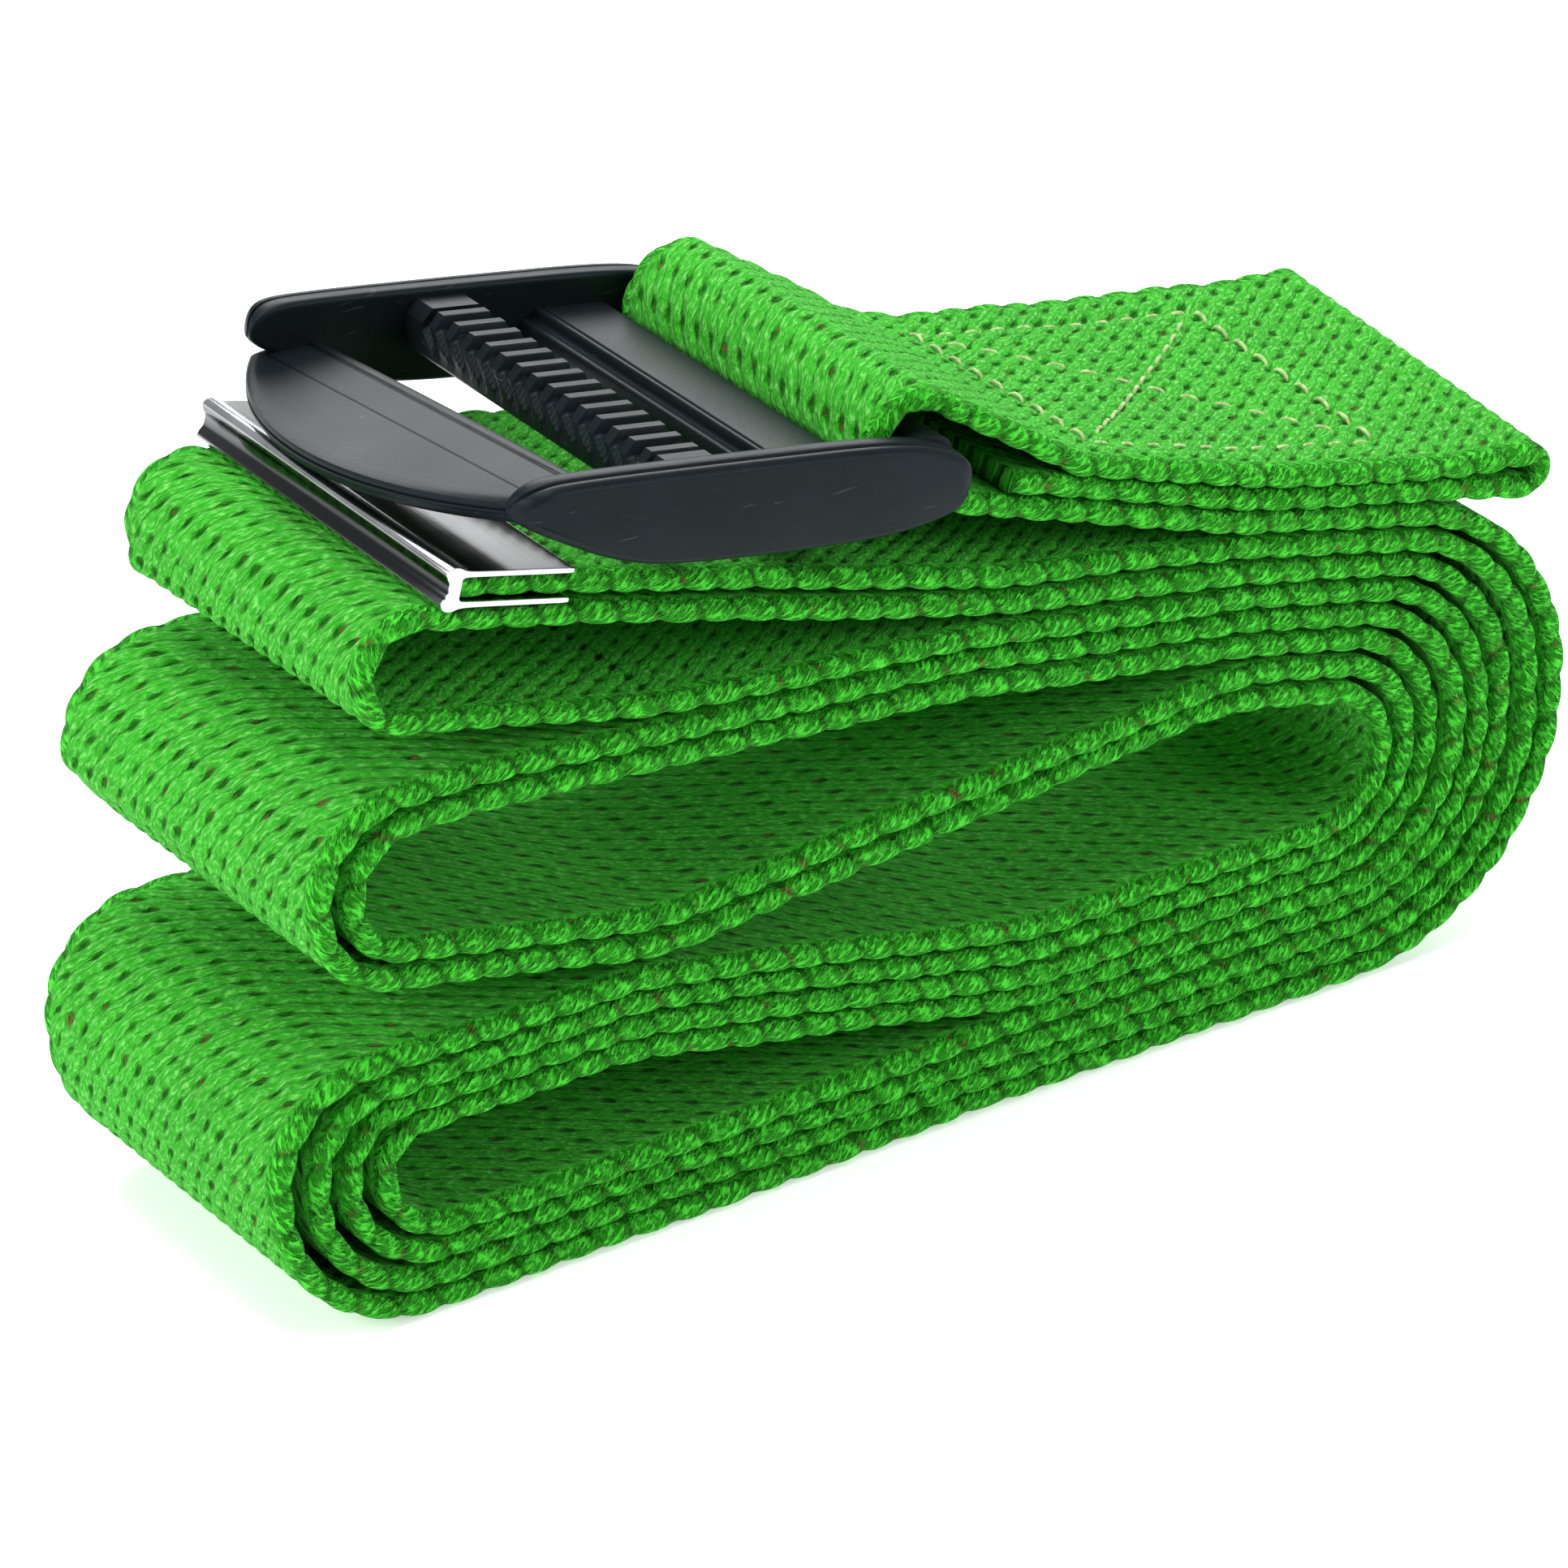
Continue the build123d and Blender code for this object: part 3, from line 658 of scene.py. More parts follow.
def stitches(name, middle_at, pitch, diameter):
    """All the stitches on one face of the hem, as short twisted arches that dive in at both ends.

    Round a stitch the ring is (r cos b, r sin b). Along it, from -1 to 1, the middle rises as
    lift (1 - |a|^3) and r narrows as (1 - 0.35 a^6).
    """
    places = stitch_places(pitch)
    rings, sides = 9, 8
    turn = places[:, 2][:, None, None]
    a = np.linspace(-1, 1, rings)[None, :, None]
    b = np.linspace(0, 2 * pi, sides, endpoint=False)[None, None, :]
    reach = 0.34 * pitch
    radius = diameter / 2 * (1 - 0.35 * a ** 6) * (1 + 0.08 * np.cos(2 * b + 9 * a))
    along_stitch = reach * a + 0 * b + 0 * places[:, 0][:, None, None]
    uneven = 0.06 * np.sin(7.3 * np.arange(len(places)))[:, None, None]
    across_stitch = radius * np.cos(b) + uneven * (1 - a ** 2)
    middle = HALF_THICK - 0.42 + 0.44 * (1 - np.abs(a) ** 3)
    sunk = 0.35 * np.abs(np.cos(turn)) ** 8 + 0.16 * (np.abs(np.sin(2 * turn)) > 0.1) * (np.sin(2 * turn) > 0)
    out = middle + radius * np.sin(b) - sunk + 0 * along_stitch
    across_stitch = across_stitch + 0 * along_stitch
    s = middle_at + places[:, 0][:, None, None] + along_stitch * np.cos(turn) - across_stitch * np.sin(turn)
    y = places[:, 1][:, None, None] + along_stitch * np.sin(turn) + across_stitch * np.cos(turn)
    points = cloth_point(s, y, -out).reshape(-1, 3)
    tube = grid_faces(rings, sides)
    half = sides // 2
    ends = np.concatenate([cap_faces(0, half, False), cap_faces((rings - 1) * sides, half, True)])
    one = np.concatenate([tube[:, ::-1], ends])
    faces = (one[None] + (np.arange(len(places)) * rings * sides)[:, None, None]).reshape(-1, 4)
    return build_mesh(name, points, faces)


# ---------------------------------------------------------------- buckle and tip


def softened(corners, passes):
    """A closed outline with its corners cut at a quarter and three quarters of each side, again and again."""
    corners = np.array(corners, float)
    for _ in range(passes):
        after = np.roll(corners, -1, axis=0)
        corners = np.stack([0.75 * corners + 0.25 * after, 0.25 * corners + 0.75 * after], 1).reshape(-1, 2)
    return corners


def inward(outline):
    """Unit normals of a closed outline, pointing into it."""
    along = np.roll(outline, -1, axis=0) - np.roll(outline, 1, axis=0)
    normal = np.stack([-along[:, 1], along[:, 0]], 1) / np.hypot(along[:, 0], along[:, 1])[:, None]
    turning = np.sum(outline[:, 0] * np.roll(outline[:, 1], -1) - outline[:, 1] * np.roll(outline[:, 0], -1))
    return normal * np.sign(turning)


def on_buckle(x, y, v):
    """Points from the buckle's own axes, which tilt about its rear bar, to the frame's."""
    across = PIVOT_X + x * cos(BUCKLE_TILT) + v * sin(BUCKLE_TILT)
    up = PIVOT_Z - x * sin(BUCKLE_TILT) + v * cos(BUCKLE_TILT)
    return np.stack([across + 0 * y, y + 0 * across, up + 0 * y], -1) * MM


def falls_away(past, radius):
    """How far a round end of a given radius has fallen away at a distance past where it begins."""
    return radius - np.sqrt(radius ** 2 - past ** 2)


def loft(name, rings, values=None, strip=False):
    """A closed form through rings of points, its ends closed by flat caps. Faces are turned to point outwards.

    With strip, each cap is a row of quads that joins every point to the one facing it across a thin section.
    """
    rows, columns = rings.shape[:2]
    faces = grid_faces(rows, columns)
    first, last = np.arange(columns), np.arange(columns) + (rows - 1) * columns
    caps = [first[::-1], last]
    if strip:
        ends = [cap_faces(0, columns // 2, True), cap_faces((rows - 1) * columns, columns // 2, False)]
        faces, caps = np.concatenate([faces] + ends), []
    middle = rings.mean(axis=1)
    a, b = rings[0] - middle[0], np.roll(rings[0], -1, axis=0) - middle[0]
    if np.dot(np.cross(a, b).sum(axis=0), middle[-1] - middle[0]) < 0:
        faces, caps = faces[:, ::-1], [cap[::-1] for cap in caps]
    made = build_mesh(name, rings.reshape(-1, 3), faces, values=values, caps=caps)
    made.data.set_sharp_from_angle(angle=SHARP_ANGLE)
    return made


def buckle_rail(name, side):
    """One side rail: a lens-shaped plate with round edges and a parting groove, its nose rounded inwards."""
    outline = softened([
        (3.6, -1.2), (2.9, -3.0), (2.0, -4.2), (-3.4, -5.6), (-10.4, -6.0), (-24.2, -6.0), (-31.7, -5.3),
        (-40.2, -1.9), (-42.3, -0.8), (-42.7, 0.2), (-42.3, 1.3), (-40.9, 2.3), (-38.0, 2.75), (-20.0, 2.8),
        (-4.2, 2.7), (0.6, 1.6), (2.9, 0.4),
    ], 4)
    section = np.array([
        (19.8, 0.78), (19.8, 0.5), (19.84, 0.25), (20.0, 0.07), (20.3, 0.0), (21.15, 0.0), (21.32, 0.07),
        (21.42, 0.34), (21.68, 0.36), (21.78, 0.14), (22.0, 0.10), (22.25, 0.17), (22.5, 0.32), (22.68, 0.50),
        (22.77, 0.66), (22.8, 0.79),
    ])
    depth, inset = section[:, 0][:, None], section[:, 1][:, None]
    spot = outline[None] + inset[..., None] * inward(outline)[None]
    nose = np.clip(-40.0 - spot[..., 0], 0.0, 2.5)
    heel = np.clip(spot[..., 0] - 1.8, 0.0, 1.6)
    drawn_in = falls_away(nose, 2.6) + falls_away(heel, 1.7)
    y = RAIL_INNER_Y + (depth - RAIL_INNER_Y) * (RAIL_THICK - drawn_in) / RAIL_THICK
    return loft(name, on_buckle(spot[..., 0], side * y, spot[..., 1]))


def buckle_bar(name, corners, passes):
    """A plain bar between the rails: one softened section carried across the buckle."""
    section = softened(corners, passes)
    y = np.array([-BAR_REACH, BAR_REACH])[:, None]
    return loft(name, on_buckle(section[:, 0][None], y, section[:, 1][None]))


def gripping_bar():
    """The toothed bar: round ridges between two flat pads, each ridge curling down over the bar's left face.

    The ridges are a wave across the buckle, -cos sharpened by a smooth step. On the left face the same wave
    stands out sideways, and lags by 0.95 mm for each millimetre down.
    """
    y = np.linspace(-BAR_REACH, BAR_REACH, 405)[:, None]
    half = RIDGES_HALF * RIDGE_PITCH
    top = np.linspace(-21.5, -26.2, 8)
    right = np.array([(-21.4, -2.6), (-21.05, -2.2), (-21.0, 0.2), (-21.12, 0.7)])
    left_v = np.array([0.75, 0.45, 0.1, -0.3, -0.7, -1.1, -1.5, -2.2])
    ring_x = np.concatenate([right[:, 0], top, np.full(len(left_v), -26.6), [-26.2]])
    ring_v = np.concatenate([right[:, 1], np.full(len(top), 0.95), left_v, [-2.6]])
    is_top = np.concatenate([np.zeros(3), [0.6], np.ones(len(top)), np.zeros(len(left_v) + 1)])
    left_share = np.interp(left_v, [-1.5, -0.9, 0.75], [0, 0.8, 1])
    is_left = np.concatenate([np.zeros(len(right) + len(top)), left_share, [0]])
    down = np.clip(0.9 - ring_v, 0.0, 3.0) * (ring_x < -26.4)
    lag = y + down[None] * 0.95
    wave = ease(-np.cos(2 * pi * (lag + half) / RIDGE_PITCH), -0.55, 0.35)
    wave = np.where(np.abs(y) > half, 1.0 + 0 * wave, wave)
    v = ring_v[None] + is_top[None] * (wave * 1.15 - 0.15)
    x = ring_x[None] - is_left[None] * 0.55 * wave + 0.10 * is_left[None]
    return loft("buckle_toothed_bar", on_buckle(x, y, v))


def thumb_tab():
    """The D-shaped tab: a plate with a soft upper rim and a double parting lip, drooping and twisted a little.

    The outline is rolled round until its first and last points face each other, as a strip cap needs.
    """
    side = np.linspace(-TAB_HALF_WIDTH, TAB_HALF_WIDTH, 61)
    radius = (TAB_HALF_WIDTH ** 2 + TAB_BULGE ** 2) / (2 * TAB_BULGE)
    arc = np.stack([-TAB_LENGTH + radius - np.sqrt(radius ** 2 - side ** 2), side], 1)
    root = [(-4.0, -21.9), (-1.0, -21.7), (0.0, -21.0)]
    outline = np.concatenate([arc[::-1], root, [(x, -y) for x, y in root[::-1]]])
    outline = np.roll(softened(outline, 2), 15, axis=0)
    section = np.array([
        (0.0, 1.6), (0.0, 1.15), (-0.03, 0.8), (-0.12, 0.45), (-0.32, 0.16), (-0.62, 0.02), (-0.74, 0.04),
        (-0.84, 0.22), (-0.94, 0.22), (-1.03, 0.03), (-1.2, 0.0), (-1.3, 0.12), (-1.6, 0.25), (-2.05, 0.5),
        (-2.32, 0.85), (-2.4, 1.3), (-2.4, 1.8),
    ])
    spot = outline[None] + section[:, 1][:, None, None] * inward(outline)[None]
    x, y, z = spot[..., 0], spot[..., 1], section[:, 0][:, None] + 0 * spot[..., 0]
    z = z - 0.25 * ease(-x, 4.0, 14.0) * ease(z, -0.3, 0.0)
    x, z = x * cos(TAB_DROOP) - z * sin(TAB_DROOP), x * sin(TAB_DROOP) + z * cos(TAB_DROOP)
    y, z = y * cos(TAB_TWIST) + z * sin(TAB_TWIST), z * cos(TAB_TWIST) - y * sin(TAB_TWIST)
    return loft("buckle_thumb_tab", on_buckle(x + TAB_ROOT_X, y, z + TAB_ROOT_V), strip=True)


def folded_tip():
    """The end tip: one sheet folded over the webbing, its closed edge rolled into two round lips with a groove.

    The outer and inner paths give (distance in from the free end, height) for the upper half of the sheet.
    """
    outer = [
        (11.0, 1.56), (10.0, 1.58), (5.0, 1.60), (1.2, 1.62), (0.2, 1.70), (-0.4, 1.98), (-1.2, 1.98),
        (-1.7, 1.5), (-1.5, 0.9), (-1.15, 0.5),
    ]
    inner = [
        (11.0, 1.04), (10.0, 1.03), (5.0, 1.03), (1.2, 1.02), (0.6, 1.0), (0.3, 0.97), (0.15, 0.9), (0.1, 0.75),
        (0.1, 0.5), (0.1, 0.2),
    ]
    under = [(a, -n) for a, n in outer[::-1]] + [(11.05, -1.3)] + [(a, -n) for a, n in inner]
    path = np.roll(softened(outer + under + inner[::-1] + [(11.05, 1.3)], 2), 5, axis=0)
    y = np.array([-19.3, -19.27, -19.15, 19.15, 19.27, 19.3])[:, None]
    inset = np.array([0.16, 0.06, 0.0, 0.0, 0.06, 0.16])[:, None, None]
    spot = path[None] + inset * inward(path)[None]
    x, z, turn = on_route(ROUTE_LENGTH - spot[..., 0])
    n = spot[..., 1]
    points = np.stack([x - n * np.sin(turn), y + 0 * n, z + n * np.cos(turn)], -1) * MM
    # Painted glint: the rolled lips, the mouth and the side edges get the bright colour, and the rest of the sheet
    # is coloured dark
    lip = ease(np.abs(n), 1.2, 1.6) * ease(-spot[..., 0], -0.2, 0.3)
    mouth = ease(spot[..., 0], 10.55, 10.85)
    ends = (np.abs(y) > 19.2) + 0.0 * n
    return loft("folded_tip", points, {"painted_glint": np.maximum(np.maximum(lip, mouth), ends)}, strip=True)


# ---------------------------------------------------------------- materials


class Maker:
    """Short names for adding shader nodes to one material."""

    def __init__(self, name):
        self.material = bpy.data.materials.new(name)
        self.material.use_nodes = True
        self.tree = self.material.node_tree
        self.shader = next(n for n in self.tree.nodes if n.type == "BSDF_PRINCIPLED")

    def node(self, kind, inputs=(), **settings):
        """A node of one kind, with its settings and its inputs set or linked."""
        made = self.tree.nodes.new("ShaderNode" + kind)
        for key, value in settings.items():
            setattr(made, key, value)
        for key, value in dict(inputs).items():
            self.put(made.inputs[key], value)
        return made

    def put(self, socket, value):
        """Links a socket to another, or sets its value."""
        if isinstance(value, bpy.types.NodeSocket):
            self.tree.links.new(value, socket)
        else:
            socket.default_value = value

    def math(self, operation, *values):
        """Result of a Math node."""
        return self.node("Math", dict(enumerate(values)), operation=operation).outputs[0]

    def plus(self, a, b):
        """Sum of two values."""
        return self.math("ADD", a, b)

    def minus(self, a, b):
        """The first value less the second."""
        return self.math("SUBTRACT", a, b)

    def times(self, a, b):
        """Product of two values."""
        return self.math("MULTIPLY", a, b)

    def scaled(self, value, factor, offset):
        """A value times a factor, plus an offset."""
        return self.math("MULTIPLY_ADD", value, factor, offset)

    def ramp(self, value, start, end):
        """Smooth step of a value from 0 at start to 1 at end."""
        inputs = {0: value, 1: start, 2: end}
        return self.node("MapRange", inputs, interpolation_type="SMOOTHSTEP").outputs[0]

    def noise(self, place, scale, detail=2.0, rough=0.5):
        """Grey value of a noise texture."""
        inputs = {"Vector": place, "Scale": scale, "Detail": detail, "Roughness": rough}
        return self.node("TexNoise", inputs).outputs[0]

    def mix(self, share, a, b):
        """Colour between a and b."""
        made = self.node("Mix", data_type="RGBA")
        self.put(made.inputs[0], share)
        self.put(made.inputs[6], a)
        self.put(made.inputs[7], b)
        return made.outputs[2]

    def bump(self, height, distance, strength=1.0, under=None):
        """Normal of a bumped surface; distance is in metres."""
        made = self.node("Bump", {"Height": height, "Distance": distance, "Strength": strength})
        if under is not None:
            self.put(made.inputs["Normal"], under)
        return made.outputs[0]

    def set(self, **inputs):
        """Sets or links the shader's own sockets; underscores stand for spaces."""
        for key, value in inputs.items():
            self.put(self.shader.inputs[key.replace("_", " ")], value)


def rgba(colour, factor=1.0):
    """A colour property times a factor, as four numbers."""
    return (*(c * factor for c in colour), 1.0)


def woven_cotton(sizes, colours):
    """Green cotton: slanted yarns in columns, with painted shade in the hollows and painted highlights on the yarn
    tops, twisted fibres and a few flecks.
    """
    m = Maker("woven_cotton")
    uv = m.node("UVMap", uv_map="cloth").outputs[0]
    split = m.node("SeparateXYZ", {0: uv})
    here = m.node("TexCoord").outputs["Object"]
    wobble = m.minus(m.noise(here, 420.0), 0.5)
    y = m.scaled(wobble, 0.6, m.times(split.outputs[0], 100.0))
    s = m.scaled(wobble, 0.9, m.times(split.outputs[1], 100.0))
    column, row = sizes.column / MM, sizes.row / MM
    across, along = m.math("DIVIDE", y, column), m.math("DIVIDE", s, row)
    g = m.plus(across, along)
    turn = m.times(g, pi)
    ridge = m.math("ABSOLUTE", m.math("COSINE", turn))
    ply = m.math("POWER", m.math("ABSOLUTE", m.math("SINE", m.times(turn, 2.0))), 0.7)
    apart = column * row / hypot(column, row)
    p = m.minus(m.math("FRACT", across), 0.5)
    line = m.math("FLOOR", m.plus(along, 0.5))
    q = m.minus(along, line)
    sine, cosine = sin(SLIT_SLANT), cos(SLIT_SLANT)
    slit_across = m.scaled(p, column * cosine / SLIT_WIDE, m.times(q, row * sine / SLIT_WIDE))
    slit_along = m.scaled(q, row * cosine / SLIT_LONG, m.times(p, -column * sine / SLIT_LONG))
    weak = m.times(m.math("FLOORED_MODULO", line, 2.0), 1 - WEAK_ROW)
    cell = m.node("CombineXYZ", {0: m.math("FLOOR", across), 1: line, 2: 0.5}).outputs[0]
    chance = m.node("TexWhiteNoise", {"Vector": cell}).outputs["Value"]
    away = m.plus(m.times(slit_across, slit_across), m.times(slit_along, slit_along))
    slit = m.math("EXPONENT", m.times(away, -1.0))
    slit = m.times(slit, m.minus(m.scaled(chance, 0.35, 0.75), weak))
    yarn = m.minus(m.scaled(ridge, GROOVE_SHARE, 1 - GROOVE_SHARE), m.times(slit, SLIT_SHARE))
    edge = m.node("Attribute", attribute_name="selvage").outputs["Fac"]
    dip = m.node("Attribute", attribute_name="hollow_shade").outputs["Fac"]
    face = m.minus(1.0, edge)
    face_along = m.minus(m.times(s, row), m.times(y, column))
    face_streak = m.node("CombineXYZ", {0: m.times(g, apart / 0.30), 1: m.times(face_along, 0.30)})
    strand = m.math("DIVIDE", m.minus(s, y), sizes.edge_strand / MM)
    edge_streak = m.node("CombineXYZ", {0: m.times(strand, 1.15), 1: m.times(m.plus(s, y), 0.62)})
    face_fibre = m.noise(face_streak.outputs[0], 1.0, 2.0, 0.6)
    edge_fibre = m.noise(edge_streak.outputs[0], 1.0, 2.0, 0.6)
    cord = m.math("ABSOLUTE", m.math("COSINE", m.times(strand, pi)))
    cord = m.scaled(cord, 0.35, m.times(m.ramp(edge_fibre, 0.34, 0.60), 0.65))
    streak = m.plus(m.times(face_fibre, face), m.times(edge_fibre, edge))
    height = m.plus(m.times(yarn, face), m.times(cord, m.times(edge, 0.40)))
    fibre = m.scaled(ply, m.times(face, 0.5), m.ramp(streak, 0.30, 0.70))
    # Painted shade: pit marks the pits between the yarns and groove the notches between the selvage beads, both
    # darkened towards the colour deep between the yarns
    pit = m.times(m.ramp(yarn, 0.76, 0.34), face)
    groove = m.times(m.ramp(dip, 0.25, 0.95), edge)
    dark = m.math("MAXIMUM", pit, groove)
    blotch = m.noise(here, 55.0, 3.0, 0.6)
    fine = m.noise(here, 2400.0, 2.0, 0.6)
    lump = m.noise(here, 500.0, 2.0, 0.6)
    light = m.mix(m.ramp(blotch, 0.3, 0.75), rgba(colours.yarn, 0.84), rgba(colours.yarn))
    light = m.mix(m.times(m.ramp(lump, 0.5, 0.3), 0.5), light, rgba(colours.yarn, 0.55))
    # Painted highlight: the streaks are fibre texture, and where they run on the yarn tops the colour pales
    # towards a whiter green
    painted_highlight = (colours.yarn[0] * 2.8 + 0.07, colours.yarn[1] * 1.45, colours.yarn[2] * 2.8 + 0.06, 1.0)
    high = m.times(m.ramp(streak, 0.47, 0.68), m.ramp(height, 0.3, 0.9))
    light = m.mix(m.times(high, 0.7), light, painted_highlight)
    light = m.mix(m.times(m.ramp(streak, 0.50, 0.32), 0.45), light, rgba(colours.yarn, 0.40))
    seam = m.times(m.ramp(ply, 0.60, 0.05), m.times(face, 0.55))
    light = m.mix(seam, light, rgba(colours.yarn, 0.38))
    cord_dark, cord_light = (0.010, 0.20, 0.003, 1.0), (0.075, colours.yarn[1] * 1.5, 0.040, 1.0)
    corded = m.mix(m.ramp(edge_fibre, 0.36, 0.66), cord_dark, cord_light)
    light = m.mix(m.times(edge, 0.85), light, corded)
    # Painted shade in the pits and notches
    colour = m.mix(m.times(dark, 0.85), light, rgba(colours.hollow_shade))
    fleck = m.times(m.ramp(m.noise(here, 800.0, 1.0), 0.60, 0.72), m.scaled(dark, 0.7, 0.08))
    colour = m.mix(fleck, colour, rgba(colours.fleck))
    normal = m.bump(height, 0.00045, 1.0)
    normal = m.bump(fibre, 0.00014, 0.9, normal)
    normal = m.bump(fine, 0.00007, 0.8, normal)
    m.set(Base_Color=colour, Roughness=0.92, Normal=normal, Specular_IOR_Level=0.09)
    m.set(Sheen_Weight=0.06, Sheen_Roughness=0.5, Sheen_Tint=(0.6, 1.0, 0.55, 1.0))
    return m.material


def sewing_thread(colours):
    """Pale twisted thread, darker in fine random specks."""
    m = Maker("sewing_thread")
    here = m.node("TexCoord").outputs["Object"]
    speckle = m.noise(here, 1500.0, 2.0)
    colour = m.mix(m.ramp(speckle, 0.35, 0.7), rgba(colours.thread, 0.6), rgba(colours.thread))
    normal = m.bump(speckle, 0.00006, 0.8)
    m.set(Base_Color=colour, Roughness=0.7, Normal=normal, Sheen_Weight=0.2, Specular_IOR_Level=0.3)
    return m.material


def moulded_plastic(colours):
    """Black plastic with a fine spark-eroded grain, a satin sheen, and paler scratch lines."""
    m = Maker("moulded_plastic")
    here = m.node("TexCoord").outputs["Object"]
    grain = m.noise(here, 2600.0, 2.0, 0.6)
    cloud = m.noise(here, 90.0, 3.0, 0.55)
    scratch = m.node("Mapping", {"Vector": here, "Rotation": (0.0, 0.5, 0.2), "Scale": (300.0, 300.0, 4200.0)})
    lines = m.ramp(m.noise(scratch.outputs[0], 1.0, 1.0), 0.72, 0.78)
    base = m.mix(m.ramp(cloud, 0.3, 0.7), rgba(colours.plastic, 0.8), rgba(colours.plastic, 1.3))
    base = m.mix(m.times(grain, 0.2), base, (0.02, 0.025, 0.028, 1.0))
    base = m.mix(m.times(lines, 0.25), base, (0.14, 0.15, 0.16, 1.0))
    rough = m.scaled(cloud, 0.14, 0.34)
    normal = m.bump(grain, 0.00003, 0.7)
    normal = m.bump(lines, 0.00002, 0.4, normal)
    m.set(Base_Color=base, Roughness=rough, Normal=normal, Specular_IOR_Level=0.13,
          Specular_Tint=(0.78, 0.95, 1.0, 1.0))
    return m.material


def polished_chrome(colours):
    """Plated sheet with a painted reflection: dark on its flats and bright along its lips and edges, with faint
    brushing and smears.
    """
    m = Maker("polished_chrome")
    here = m.node("TexCoord").outputs["Object"]
    drawn = m.node("Mapping", {"Vector": here, "Scale": (1800.0, 60.0, 1800.0)})
    brush = m.noise(drawn.outputs[0], 1.0, 3.0)
    smear = m.noise(here, 130.0, 3.0, 0.6)
    bright = m.mix(m.ramp(smear, 0.35, 0.7), rgba(colours.chrome, 0.72), rgba(colours.chrome))
    painted_glint = m.node("Attribute", attribute_name="painted_glint").outputs["Fac"]
    # Painted reflection: the flats are coloured nearly black and the marked lips and edges bright
    colour = m.mix(painted_glint, rgba(colours.chrome, 0.07), bright)
    rough = m.scaled(smear, 0.14, m.scaled(brush, 0.08, 0.06))
    normal = m.bump(smear, 0.00006, 0.25)
    normal = m.bump(brush, 0.00001, 0.5, normal)
    m.set(Base_Color=colour, Metallic=1.0, Roughness=rough, Normal=normal)
    return m.material


def pale_floor():
    """Plain white floor with a barely uneven surface."""
    m = Maker("pale_floor")
    here = m.node("TexCoord").outputs["Object"]
    m.set(Base_Color=(0.93, 0.93, 0.93, 1.0), Roughness=m.scaled(m.noise(here, 40.0), 0.1, 0.8))
    m.set(Emission_Color=(1.0, 1.0, 1.0, 1.0), Emission_Strength=0.42)
    return m.material


def paint(objects, material):
    """Gives objects one material."""
    for one in objects:
        one.data.materials.clear()
        one.data.materials.append(material)


# ---------------------------------------------------------------- operators


class STRAP_OT_webbing(Operator):
    """Make the folded webbing, in stretches that meet end to end"""

    bl_idname = "strap.webbing"
    bl_label = "Webbing"

    def execute(self, context):
        sizes, colours = context.scene.strap_sizes, context.scene.strap_colours
        cloth = woven_cotton(sizes, colours)
        for name, start, end, fine in stretches():
            piece = webbing_stretch(name, start, end, fine, sizes)
            paint([piece], cloth)
            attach(piece, "strap")
            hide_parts("webbing")
        return {"FINISHED"}


class STRAP_OT_stitching(Operator):
    """Make the box-and-cross stitching on both faces of the hem"""

    bl_idname = "strap.stitching"
    bl_label = "Stitching"

    def execute(self, context):
        sizes, colours = context.scene.strap_sizes, context.scene.strap_colours
        run_1 = hem_lines()[0]
        slope = heading(run_1[0], run_1[1])
        start_x = HEM_RISE_X + 2 * PITCH_HEM * sin(slope)
        under = CORNER_AT[9] - (SHOULDER_X - start_x) / cos(slope) + BOX_START + BOX_LENGTH / 2
        pitch, thread = sizes.stitch_pitch / MM, sizes.thread / MM
        needle = stitches("needle_stitches", HEM_BOX_AT, pitch, thread)
        bobbin = stitches("bobbin_stitches", under, pitch, thread)
        paint([needle, bobbin], sewing_thread(colours))
        for piece, node in ((needle, "needle_thread"), (bobbin, "bobbin_thread")):
            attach(piece, "strap")
            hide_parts(node)
        return {"FINISHED"}


class STRAP_OT_buckle(Operator):
    """Make the moulded buckle: two rails, three bars and the thumb tab"""

    bl_idname = "strap.buckle"
    bl_label = "Buckle"

    def execute(self, context):
        pieces = [
            buckle_rail("buckle_rail_far", 1),
            buckle_rail("buckle_rail_near", -1),
            buckle_bar("buckle_rear_bar", [(2.1, -2.1), (2.1, 2.1), (-2.1, 2.1), (-2.1, -2.1)], 3),
            buckle_bar("buckle_wide_bar", [
                (-6.3, -3.1), (-6.3, -1.8), (-6.3, -0.4), (-6.6, -0.1), (-7.2, -0.1), (-12.4, -0.1),
                (-12.75, -0.1), (-12.9, -0.32), (-13.1, -0.32), (-13.2, -0.02), (-13.6, -0.02), (-13.75, -0.3),
                (-13.75, -1.0), (-14.2, -1.12), (-14.4, -1.02), (-14.85, -1.02), (-15.05, -1.3), (-15.05, -2.4),
                (-14.8, -3.1), (-13.0, -3.1), (-8.0, -3.1),
            ], 2),
            gripping_bar(),
            thumb_tab(),
        ]
        paint(pieces, moulded_plastic(context.scene.strap_colours))
        for piece in pieces:
            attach(piece, "buckle")
            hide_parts("buckle_frame")
        return {"FINISHED"}


class STRAP_OT_end_tip(Operator):
    """Make the folded end tip"""

    bl_idname = "strap.end_tip"
    bl_label = "End tip"

    def execute(self, context):
        tip = folded_tip()
        paint([tip], polished_chrome(context.scene.strap_colours))
        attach(tip, "strap")
        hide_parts("end_tip")
        return {"FINISHED"}


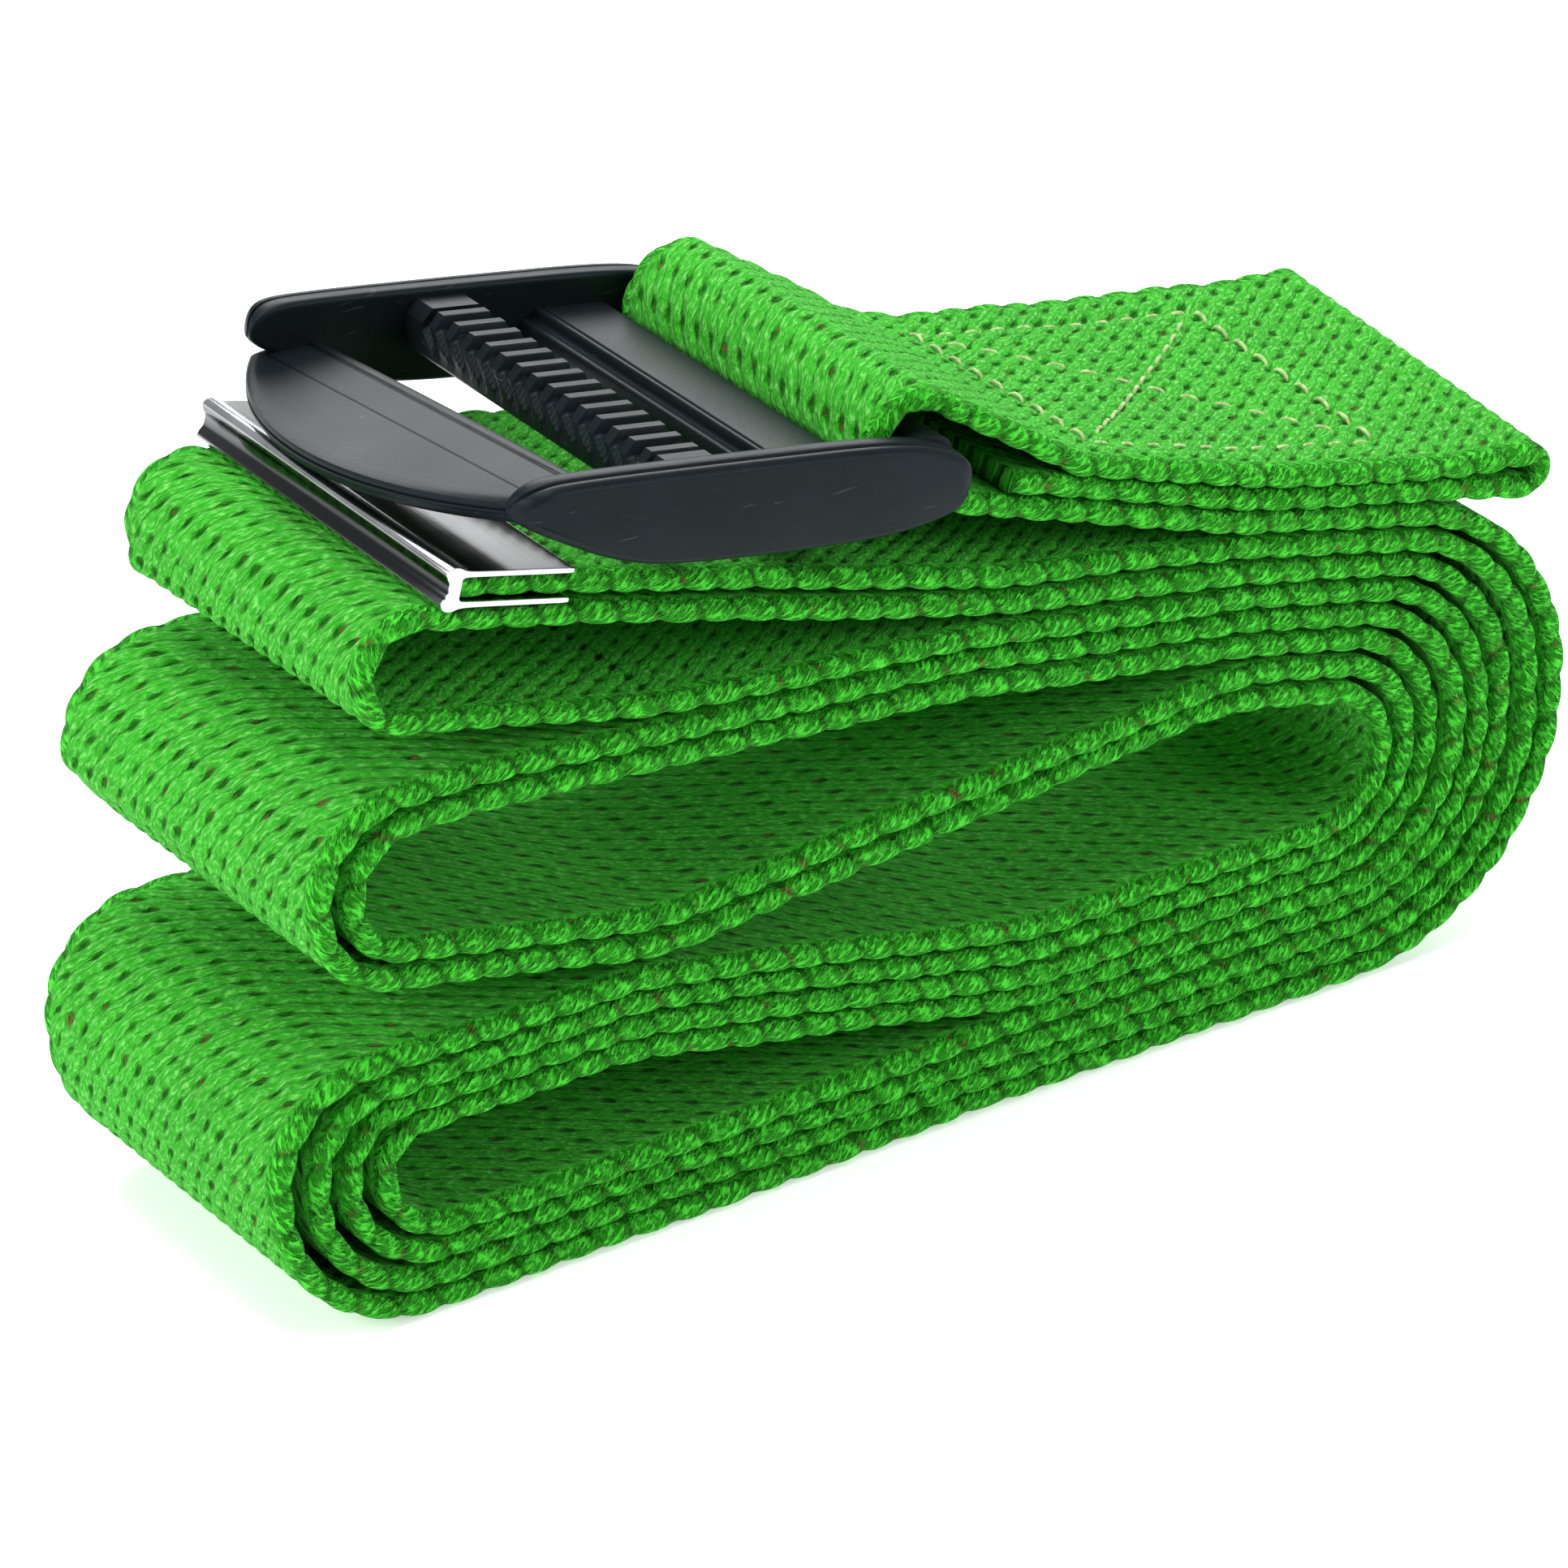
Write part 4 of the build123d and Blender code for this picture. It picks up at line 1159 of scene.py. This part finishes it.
class STRAP_OT_stage(Operator):
    """Add the floor, the soft lights and the camera"""

    bl_idname = "strap.stage"
    bl_label = "Stage"

    def execute(self, context):
        scene = context.scene
        corners = np.array([(-3, -3, -0.0001), (3, -3, -0.0001), (3, 3, -0.0001), (-3, 3, -0.0001)])
        floor = build_mesh("floor", corners, np.array([[0, 1, 2, 3]]))
        paint([floor], pale_floor())
        lights = (
            ("overhead", (0.0, 0.10, 0.75), 0.60, 4.4),
            ("far_left", (-0.70, 0.05, 0.45), 0.45, 3.6),
            ("near_right", (0.45, -0.60, 0.40), 0.45, 2.2),
            ("behind", (0.50, 0.72, 0.52), 0.60, 5.4),
        )
        for name, place, size, power in lights:
            lamp = bpy.data.lights.new(name, "AREA")
            lamp.size, lamp.energy = size, power
            holder = bpy.data.objects.new(name, lamp)
            scene.collection.objects.link(holder)
            holder.location = place
            aim = np.array((0.0, 0.0, 0.03)) - np.array(place)
            tilt = pi - atan2(hypot(aim[0], aim[1]), aim[2])
            holder.rotation_euler = (tilt, 0.0, atan2(aim[1], aim[0]) - pi / 2)
        world = bpy.data.worlds.new("studio")
        world.use_nodes = True
        world.node_tree.nodes["Background"].inputs[0].default_value = (0.80, 0.82, 0.85, 1.0)
        world.node_tree.nodes["Background"].inputs[1].default_value = 0.45
        scene.world = world
        lens = bpy.data.cameras.new("camera")
        lens.lens, lens.sensor_width = 177.0, 36.0
        lens.clip_start, lens.clip_end = 0.01, 20.0
        camera = bpy.data.objects.new("camera", lens)
        scene.collection.objects.link(camera)
        camera.location = (-0.34341, -0.49084, 0.35080)
        camera.rotation_euler = (radians(61.5), 0.0, radians(-34.5))
        scene.camera = camera
        scene.view_settings.view_transform = "Standard"
        return {"FINISHED"}


class STRAP_PT_panel(Panel):
    """Sidebar panel with the sizes, the colours and one button for each piece"""

    bl_label = "Stretching strap"
    bl_idname = "STRAP_PT_panel"
    bl_space_type = "VIEW_3D"
    bl_region_type = "UI"
    bl_category = "Strap"

    def draw(self, context):
        for group in (context.scene.strap_sizes, context.scene.strap_colours):
            for key in group.__annotations__:
                self.layout.prop(group, key)
        for step in STEPS:
            self.layout.operator(step.bl_idname)


STEPS = (STRAP_OT_webbing, STRAP_OT_stitching, STRAP_OT_buckle, STRAP_OT_end_tip, STRAP_OT_stage)
CLASSES = (StrapSizes, StrapColours, *STEPS, STRAP_PT_panel)


def register():
    for one in CLASSES:
        bpy.utils.register_class(one)
    bpy.types.Scene.strap_sizes = PointerProperty(type=StrapSizes)
    bpy.types.Scene.strap_colours = PointerProperty(type=StrapColours)


def unregister():
    del bpy.types.Scene.strap_sizes
    del bpy.types.Scene.strap_colours
    for one in reversed(CLASSES):
        bpy.utils.unregister_class(one)


def main():
    """Registers the add-on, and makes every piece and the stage."""
    register()
    bpy.ops.strap.webbing()
    bpy.ops.strap.stitching()
    bpy.ops.strap.buckle()
    bpy.ops.strap.end_tip()
    bpy.ops.strap.stage()


if __name__ == "__main__":
    main()
